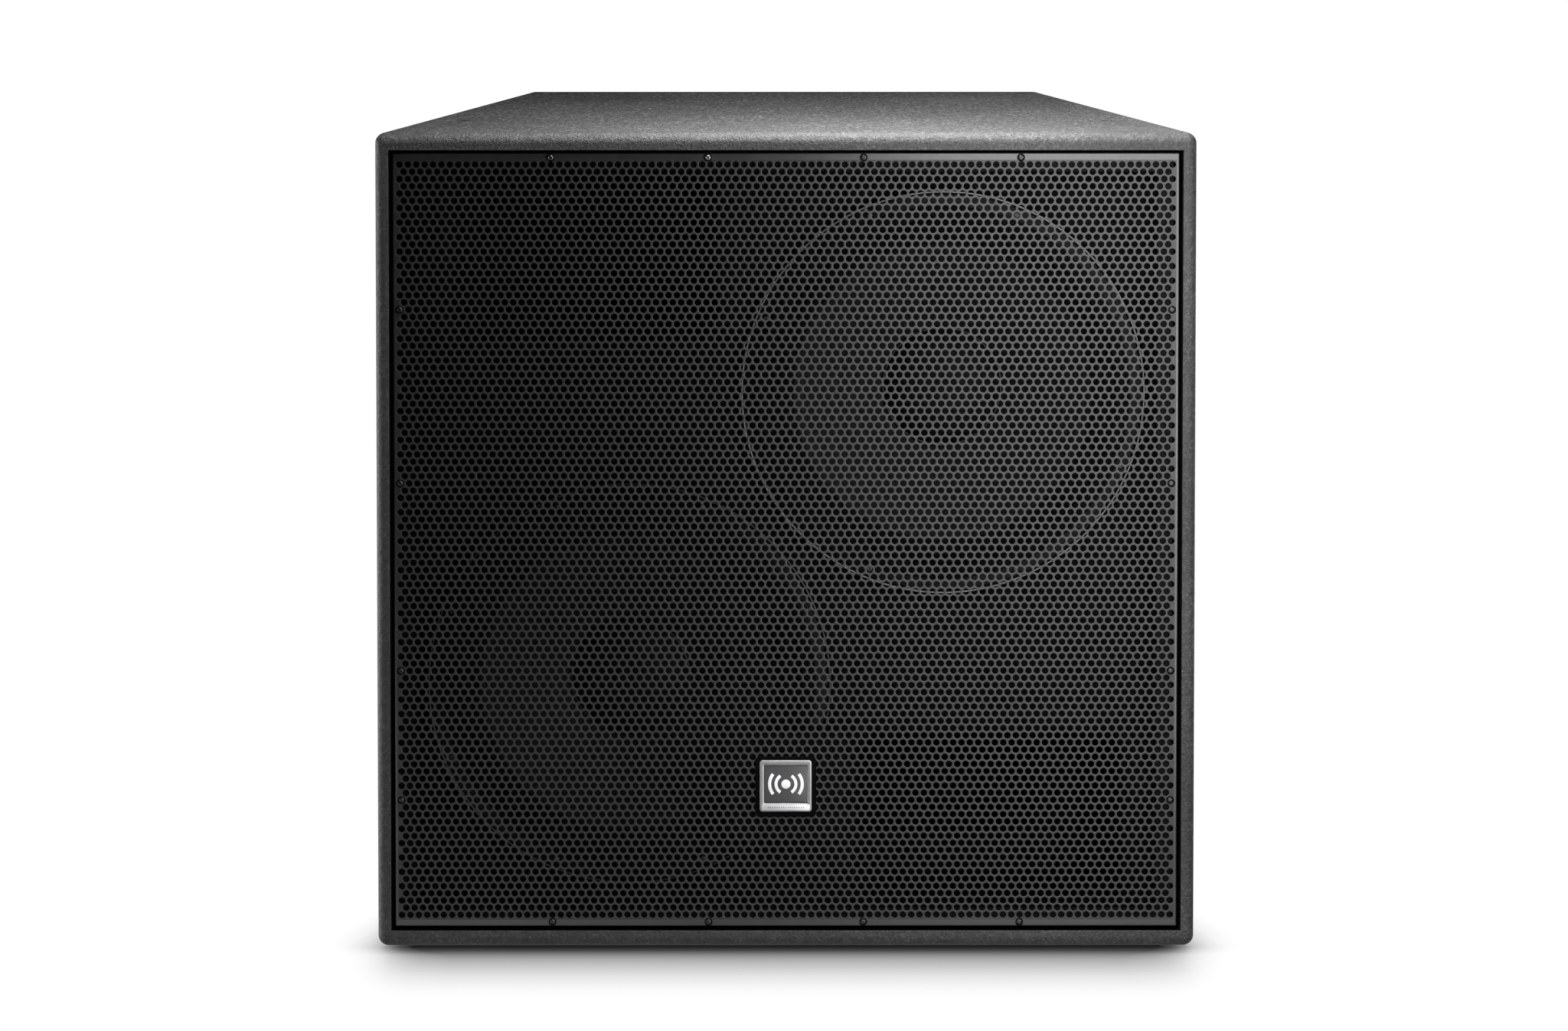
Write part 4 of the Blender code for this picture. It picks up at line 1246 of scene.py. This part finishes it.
# ---------------------------------------------------------------- input panel at the back
def rear_panel_parts():
    lo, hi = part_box("input_panel")
    cx, cz = (lo.x + hi.x) / 2, (lo.z + hi.z) / 2
    face, well = hi.y, lo.y
    outer = rr_grow(lo.x, hi.x, lo.z, hi.z, 0.006)
    well_in = rr_grow(cx - 0.084, cx + 0.084, cz - 0.044, cz + 0.044, 0.004)
    well_out = rr_grow(cx - 0.086, cx + 0.086, cz - 0.046, cz + 0.046, 0.006)
    floor_y = face - 0.020

    def ring(outline, y):
        return [(x, y, z) for x, z in outline]

    rings = [ring(well_out(-0.0005), well), ring(well_out(0), well + 0.0005), ring(well_out(0), face - 0.0026), ring(well_out(0.0006), face - 0.0020), ring(outer(-0.0002), face - 0.0020), ring(outer(0), face - 0.0018)]
    for k in range(4):
        a = math.pi / 2 * k / 3
        rings.append(ring(outer(-0.0008 * (1 - math.cos(a))), face - 0.0008 * (1 - math.sin(a))))
    for k in range(5):
        a = math.pi / 2 * k / 4
        rings.append(ring(well_in(0.0020 * (1 - math.sin(a))), face - 0.0020 * (1 - math.cos(a))))
    rings += [ring(well_in(0), floor_y + 0.0015), ring(well_in(-0.0005), floor_y + 0.0005), ring(well_in(-0.0015), floor_y)]
    panel = raw("input_plate", *loft(rings))
    sockets = {}
    for name in ("input_socket", "link_socket"):
        a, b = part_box(name)
        sockets[name] = ((a.x + b.x) / 2, (a.z + b.z) / 2, b.y)
        x, z, _ = sockets[name]
        hole = loft([[(x + px, y, z + pz) for px, pz, _ in circle(0.0122, 0, 32)] for y in (well - 0.01, face + 0.01)])
        cut(panel, raw("cutter", *hole))
    dress(panel, "panel", replaces=("input_panel",), angle=38, weighted=True)
    give("input_gasket", "foam")
    for i, (sx, sz) in enumerate(((-1, -1), (0, -1), (1, -1), (-1, 1), (0, 1), (1, 1))):
        at = (cx + sx * 0.0925, face, cz + sz * 0.0525)
        dress(raw(f"panel_screw_{i + 1}", *facing(cross_head(3.3 * MM, 1.5 * MM, 0.5 * MM, 0.52, 0.8 * MM), at, "+Y", 0.35 * i)), "screw", angle=35)

    # sockets: a flanged moulding with a round mouth, a centre post with contacts, and keyways in the bore
    for name, (x, z, top) in sockets.items():
        n = 64
        w, h = 0.013, 0.0155
        per = n // 4 - 1

        def plate(g, y):
            return [(x + px, y, z + pz) for px, pz in rr(-w - g, w + g, -h - g, h + g, 0.003 + g, per)]

        def disc(r, y):
            return [(x + r * math.cos(t), y, z + r * math.sin(t)) for t in [math.atan2(pz, px) for px, pz in rr(-w, w, -h, h, 0.003, per)]]

        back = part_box(name)[0].y
        bore = top - 0.0148
        rings = [disc(0.0113, back + 0.0005), disc(0.0118, back + 0.0012), disc(0.0118, top - 0.0028), plate(0, top - 0.0030), plate(0, top - 0.0006)]
        rings += [plate(-0.0002, top - 0.0002), plate(-0.0006, top), disc(0.0121, top), disc(0.0117, top + 0.0009), disc(0.0112, top + 0.0012), disc(0.0100, top + 0.0012), disc(0.0094, top + 0.0008), disc(0.0090, top + 0.0001), disc(0.0090, bore), disc(0.0050, bore)]
        rings += [disc(0.0050, top - 0.0020), disc(0.0046, top - 0.0014), disc(0.0030, top - 0.0014), disc(0.0027, top - 0.0018), disc(0.0027, top - 0.0090), [(x, top - 0.0096, z)]]
        dress(raw(f"{name}_moulding", *loft(rings)), "socket", replaces=(name,), angle=40)
        # the two keys in the bore and four contact blades round the post
        keys = []
        for a in (90, 210):
            m = Matrix.Translation((x, 0, z)) @ Matrix.Rotation(math.radians(-a), 4, "Y")
            keys.append(moved(block((0.0076, 0.0091), (bore + 0.0002, top - 0.0016), (-0.0012, 0.0012), 0.0003), m))
        dress(raw(f"{name}_keys", *joined(*keys)), "socket", angle=40)
        blades = []
        for a in (45, 135, 225, 315):
            m = Matrix.Translation((x, 0, z)) @ Matrix.Rotation(math.radians(-a), 4, "Y")
            blades.append(moved(block((0.0049, 0.0058), (bore + 0.0002, top - 0.0040), (-0.0011, 0.0011), 0.0002), m))
        dress(raw(f"{name}_contacts", *joined(*blades)), "plated", angle=40)
        for i, (sx, sz) in enumerate(((-1, 1), (1, -1))):
            at = (x + sx * 0.0104, top, z + sz * 0.0128)
            dress(raw(f"{name}_screw_{i + 1}", *facing(cross_head(1.9 * MM, 0.9 * MM, 0.3 * MM, 0.55, 0.5 * MM), at, "+Y", 0.6 * i + 0.2)), "screw", angle=35)

    # barrier strip: moulded base, fins between the terminals, clamp plates and screws
    lo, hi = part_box("barrier_strip")
    z0, z1 = lo.z, hi.z
    zc = (z0 + z1) / 2
    base_top = lo.y + 0.0100
    fins = [block((lo.x, hi.x), (lo.y, base_top - 0.0040), (z0, z1), 0.0005)]
    fins.append(block((lo.x + 0.0002, hi.x - 0.0002), (base_top - 0.0042, base_top - 0.0012), (zc - 0.0098, zc + 0.0098), 0.0004))
    for k in range(5):
        x = -0.0364 + 0.0182 * k
        fins.append(block((x - 0.0008, x + 0.0008), (base_top - 0.0043, base_top), (z0 + 0.0003, z1 - 0.0003), 0.0003))
    dress(raw("barrier_strip_base", *joined(*fins)), "strip", replaces=("barrier_strip",), angle=40)
    for i, s in enumerate((-1, 1)):
        xa, xb = sorted((s * 0.0381, s * 0.0420))
        ear = [(lo.y + 0.0055, z0 + 0.001, 0), (lo.y + 0.0055, z1 - 0.0002, 0.0), (hi.y, z1 - 0.0002, 0.0026), (hi.y, z1 - 0.0065, 0.0026), (base_top, z0 + 0.003, 0.002)]
        pts = rounded(ear, 4)
        rings = [[(x, y, z) for y, z in pts] for x in (xa, xb)]
        dress(raw(f"barrier_strip_ear_{i + 1}", *loft(rings)), "strip", angle=40)
    for k in range(4):
        x = -0.0273 + 0.0182 * k
        dress(raw(f"terminal_clamp_{k + 1}", *block((x - 0.0066, x + 0.0066), (base_top - 0.0013, base_top - 0.0004), (zc - 0.0080, zc + 0.0066), 0.0003)), "plated", angle=40)
        dress(raw(f"terminal_screw_{k + 1}", *facing(cross_head(3.4 * MM, 1.5 * MM, 0.45 * MM, 0.6, 0.8 * MM), (x, base_top - 0.0004, zc), "+Y", 0.5 * k + 0.2)), "zinc", angle=35)
    give("hinge_pin", "plated")

    # cover flap: a smoked plate with rounded edges and a finger lip, turning on the pin
    lo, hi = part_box("barrier_cover")
    pin_lo, pin_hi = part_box("hinge_pin")
    hy, hz = (pin_lo.y + pin_hi.y) / 2, (pin_lo.z + pin_hi.z) / 2
    parts = []
    # plate in one section, swept along x
    sec = rounded([(hy - 0.0010, hz - 0.0018, 0.0006), (hy - 0.0010, lo.z + 0.0002, 0.0006), (hy + 0.0010, lo.z + 0.0002, 0.0006), (hy + 0.0010, hz - 0.0018, 0.0006)], 3)
    for xa, xb in ((lo.x, hi.x),):
        rings = [[(x, y, z) for y, z in sec] for x in (xa, xb)]
        parts.append(loft(rings))
    dress(raw("cover_flap_plate", *joined(*parts)), "cover", body="terminal_cover", replaces=("barrier_cover",), angle=40)
    barrels = []
    for xa, xb in ((lo.x, lo.x + 0.019), (-0.011, 0.011), (hi.x - 0.019, hi.x)):
        rings = []
        outer_r, inner_r = 0.0024, 0.00128
        n = 32
        def tube_ring(r, x):
            return [(x, hy + r * math.cos(2 * math.pi * k / n), hz + r * math.sin(2 * math.pi * k / n)) for k in range(n)]
        rings = [tube_ring(outer_r - 0.0002, xa), tube_ring(outer_r, xa + 0.0002), tube_ring(outer_r, xb - 0.0002), tube_ring(outer_r - 0.0002, xb), tube_ring(inner_r, xb), tube_ring(inner_r, xa)]
        barrels.append(loft(rings, closed=True))
    dress(raw("cover_flap_barrels", *joined(*barrels)), "socket", body="terminal_cover", replaces=("barrier_cover",), angle=40)
    dress(raw("cover_flap_lip", *block((-0.010, 0.010), (hy + 0.0008, hy + 0.0026), (lo.z + 0.0006, lo.z + 0.0030), 0.0006, 3)), "socket", body="terminal_cover", angle=40)


rear_panel_parts()

# ---------------------------------------------------------------- stage
# The floor and the backdrop are plain white to the camera, but for a painted shadow on the floor round the cabinet; to
# everything else they are dim, but for a glow thrown up close to the cabinet, like a dark studio with a lit sweep.
floor_mesh = bpy.data.meshes.new("floor")
floor_mesh.from_pydata([(-30, -30, -0.0004), (30, -30, -0.0004), (30, 30, -0.0004), (-30, 30, -0.0004)], [], [(0, 1, 2, 3)])
floor = bpy.data.objects.new("floor", floor_mesh)
SCENE.collection.objects.link(floor)
BOUNCE = 0.03
GLOW = 0.45


def floor_material():
    m = bpy.data.materials.new("floor")
    m.use_nodes = True
    t = m.node_tree
    t.nodes.clear()

    def new(kind):
        return t.nodes.new(kind)

    def calc(op, a, b=None, clamp=False):
        n = new("ShaderNodeMath")
        n.operation = op
        n.use_clamp = clamp
        for k, v in enumerate((a, b)):
            if v is None:
                continue
            if isinstance(v, (int, float)):
                n.inputs[k].default_value = v
            else:
                t.links.new(v, n.inputs[k])
        return n.outputs[0]

    def ramp(value, stops):
        n = new("ShaderNodeValToRGB")
        while len(n.color_ramp.elements) < len(stops):
            n.color_ramp.elements.new(1.0)
        for e, (p, v) in zip(n.color_ramp.elements, stops):
            e.position = p
        for e, (p, v) in zip(n.color_ramp.elements, stops):
            e.color = (v, v, v, 1.0)
        t.links.new(value, n.inputs["Fac"])
        return n.outputs["Color"]

    co = new("ShaderNodeTexCoord").outputs["Object"]
    sep = new("ShaderNodeSeparateXYZ")
    t.links.new(co, sep.inputs[0])
    x, y = sep.outputs[0], sep.outputs[1]
    # distance in front of or behind the footprint, and beside its tapered sides
    front = calc("SUBTRACT", Y0, y)
    rear = calc("SUBTRACT", y, Y1)
    dy = calc("MAXIMUM", calc("MAXIMUM", front, rear), 0.0)
    yc = calc("MINIMUM", calc("MAXIMUM", y, Y0), Y1)
    wall = calc("SUBTRACT", 0.3875, calc("MULTIPLY", calc("SUBTRACT", yc, Y0), TAPER))
    out = calc("SUBTRACT", calc("ABSOLUTE", x), wall)
    beyond = calc("MAXIMUM", out, 0.0)
    # painted shadow on the floor in front of and behind the cabinet, darkest against it and gone by 0.36 m
    along = ramp(calc("DIVIDE", dy, 0.36, True), [(0.0, 0.02), (0.061, 0.070), (0.114, 0.178), (0.169, 0.296), (0.222, 0.397), (0.278, 0.479), (0.33, 0.546), (0.386, 0.61), (0.439, 0.68), (0.494, 0.745), (0.547, 0.80), (0.603, 0.835), (0.655, 0.88), (0.711, 0.92), (0.77, 0.95), (0.88, 0.985), (1.0, 1.0)])
    # the ends of that shade are soft, and softer further out
    inside = calc("MAXIMUM", calc("MULTIPLY", out, -1.0), 0.0)
    tight = calc("SUBTRACT", 2.2, calc("MULTIPLY", calc("DIVIDE", dy, 0.05, True), 1.2))
    ends = calc("SUBTRACT", calc("MULTIPLY", inside, tight), beyond)
    ends = ramp(calc("DIVIDE", calc("ADD", ends, 0.035), 0.105, True), [(0.0, 0.0), (0.124, 0.045), (0.19, 0.09), (0.257, 0.15), (0.324, 0.24), (0.40, 0.39), (0.467, 0.57), (0.533, 0.68), (0.61, 0.79), (0.676, 0.86), (0.743, 0.91), (1.0, 1.0)])
    shade = calc("SUBTRACT", 1.0, calc("MULTIPLY", calc("SUBTRACT", 1.0, along), ends))
    # a narrow painted shadow along the tapered sides
    depth = calc("MAXIMUM", calc("MINIMUM", calc("SUBTRACT", y, Y0), calc("SUBTRACT", Y1, y)), 0.0)
    weight = calc("MULTIPLY", ramp(calc("DIVIDE", depth, 0.15, True), [(0.0, 0.3), (1.0, 1.0)]), ramp(calc("DIVIDE", dy, 0.05, True), [(0.0, 1.0), (1.0, 0.0)]))
    close = ramp(calc("DIVIDE", beyond, 0.07, True), [(0.0, 0.95), (0.06, 0.80), (0.14, 0.62), (0.28, 0.38), (0.5, 0.16), (0.75, 0.05), (1.0, 0.0)])
    shade = calc("MULTIPLY", shade, calc("SUBTRACT", 1.0, calc("MULTIPLY", weight, close)))
    path = new("ShaderNodeLightPath").outputs["Is Camera Ray"]
    # light thrown up by the sweep: strong close to the cabinet, almost nothing further off
    away = calc("SQRT", calc("ADD", calc("MULTIPLY", dy, dy), calc("MULTIPLY", beyond, beyond)), 0.0)
    near = ramp(calc("DIVIDE", away, 0.20, True), [(0.0, 1.0), (0.35, 0.8), (0.7, 0.3), (1.0, 0.0)])
    thrown = calc("ADD", BOUNCE, calc("MULTIPLY", near, GLOW))
    mix = calc("ADD", calc("MULTIPLY", calc("MULTIPLY", path, shade), 1.02), calc("MULTIPLY", calc("SUBTRACT", 1.0, path), thrown))
    emit = new("ShaderNodeEmission")
    emit.inputs["Color"].default_value = (1, 1, 1, 1)
    t.links.new(mix, emit.inputs["Strength"])
    out = new("ShaderNodeOutputMaterial")
    t.links.new(emit.outputs[0], out.inputs["Surface"])
    return m


floor_mesh.materials.append(floor_material())

world = bpy.data.worlds.new("studio")
SCENE.world = world
world.use_nodes = True
wt = world.node_tree
wt.nodes.clear()
out = wt.nodes.new("ShaderNodeOutputWorld")
bg_cam, bg_light, mixer = wt.nodes.new("ShaderNodeBackground"), wt.nodes.new("ShaderNodeBackground"), wt.nodes.new("ShaderNodeMixShader")
bg_cam.inputs["Color"].default_value = (1, 1, 1, 1)
bg_cam.inputs["Strength"].default_value = 1.02
bg_light.inputs["Color"].default_value = (1, 1, 1, 1)
bg_light.inputs["Strength"].default_value = 0.02
wt.links.new(wt.nodes.new("ShaderNodeLightPath").outputs["Is Camera Ray"], mixer.inputs[0])
wt.links.new(bg_light.outputs[0], mixer.inputs[1])
wt.links.new(bg_cam.outputs[0], mixer.inputs[2])
wt.links.new(mixer.outputs[0], out.inputs["Surface"])


def softbox(name, at, look_at, size, power, spread=180):
    data = bpy.data.lights.new(name, "AREA")
    data.shape = "RECTANGLE"
    data.size, data.size_y = size
    data.energy = power
    data.spread = math.radians(spread)
    obj = bpy.data.objects.new(name, data)
    SCENE.collection.objects.link(obj)
    obj.location = at
    obj.rotation_euler = (Vector(look_at) - Vector(at)).to_track_quat("-Z", "Y").to_euler()
    obj.visible_camera = False
    return obj


# the side and rear boxes stay below the level of the lid, so that only the overhead box draws the gradient on it
softbox("key_near", (0.300, -0.654, 0.489), (0.30, -0.3, 0.336), (0.406, 0.937), 5.04)
softbox("key_far", (1.247, -1.303, 0.647), (0.10, -0.3, 0.416), (0.254, 0.697), 9.93)
softbox("overhead", (0.096, -0.296, 1.245), (0.10, -0.3, 0.75), (0.385, 0.236), 19.5)
softbox("back_light", (0.70, 1.103, 1.0), (0.10, 0.0, 0.75), (0.588, 0.402), 3.2)
softbox("low_left", (-0.42, -0.72, 0.03), (-0.36, -0.3, 0.10), (0.5, 0.12), 0.5)
softbox("left_side", (-1.8, 0.1, 0.39), (-0.3, 0.0, 0.39), (1.6, 0.74), 46)
softbox("right_side", (1.8, 1.3, 0.39), (0.3, 0.2, 0.39), (1.2, 0.74), 9)
softbox("rear_fill", (0.3, 2.6, 0.40), (0.0, 0.3, 0.39), (2.6, 0.74), 40)
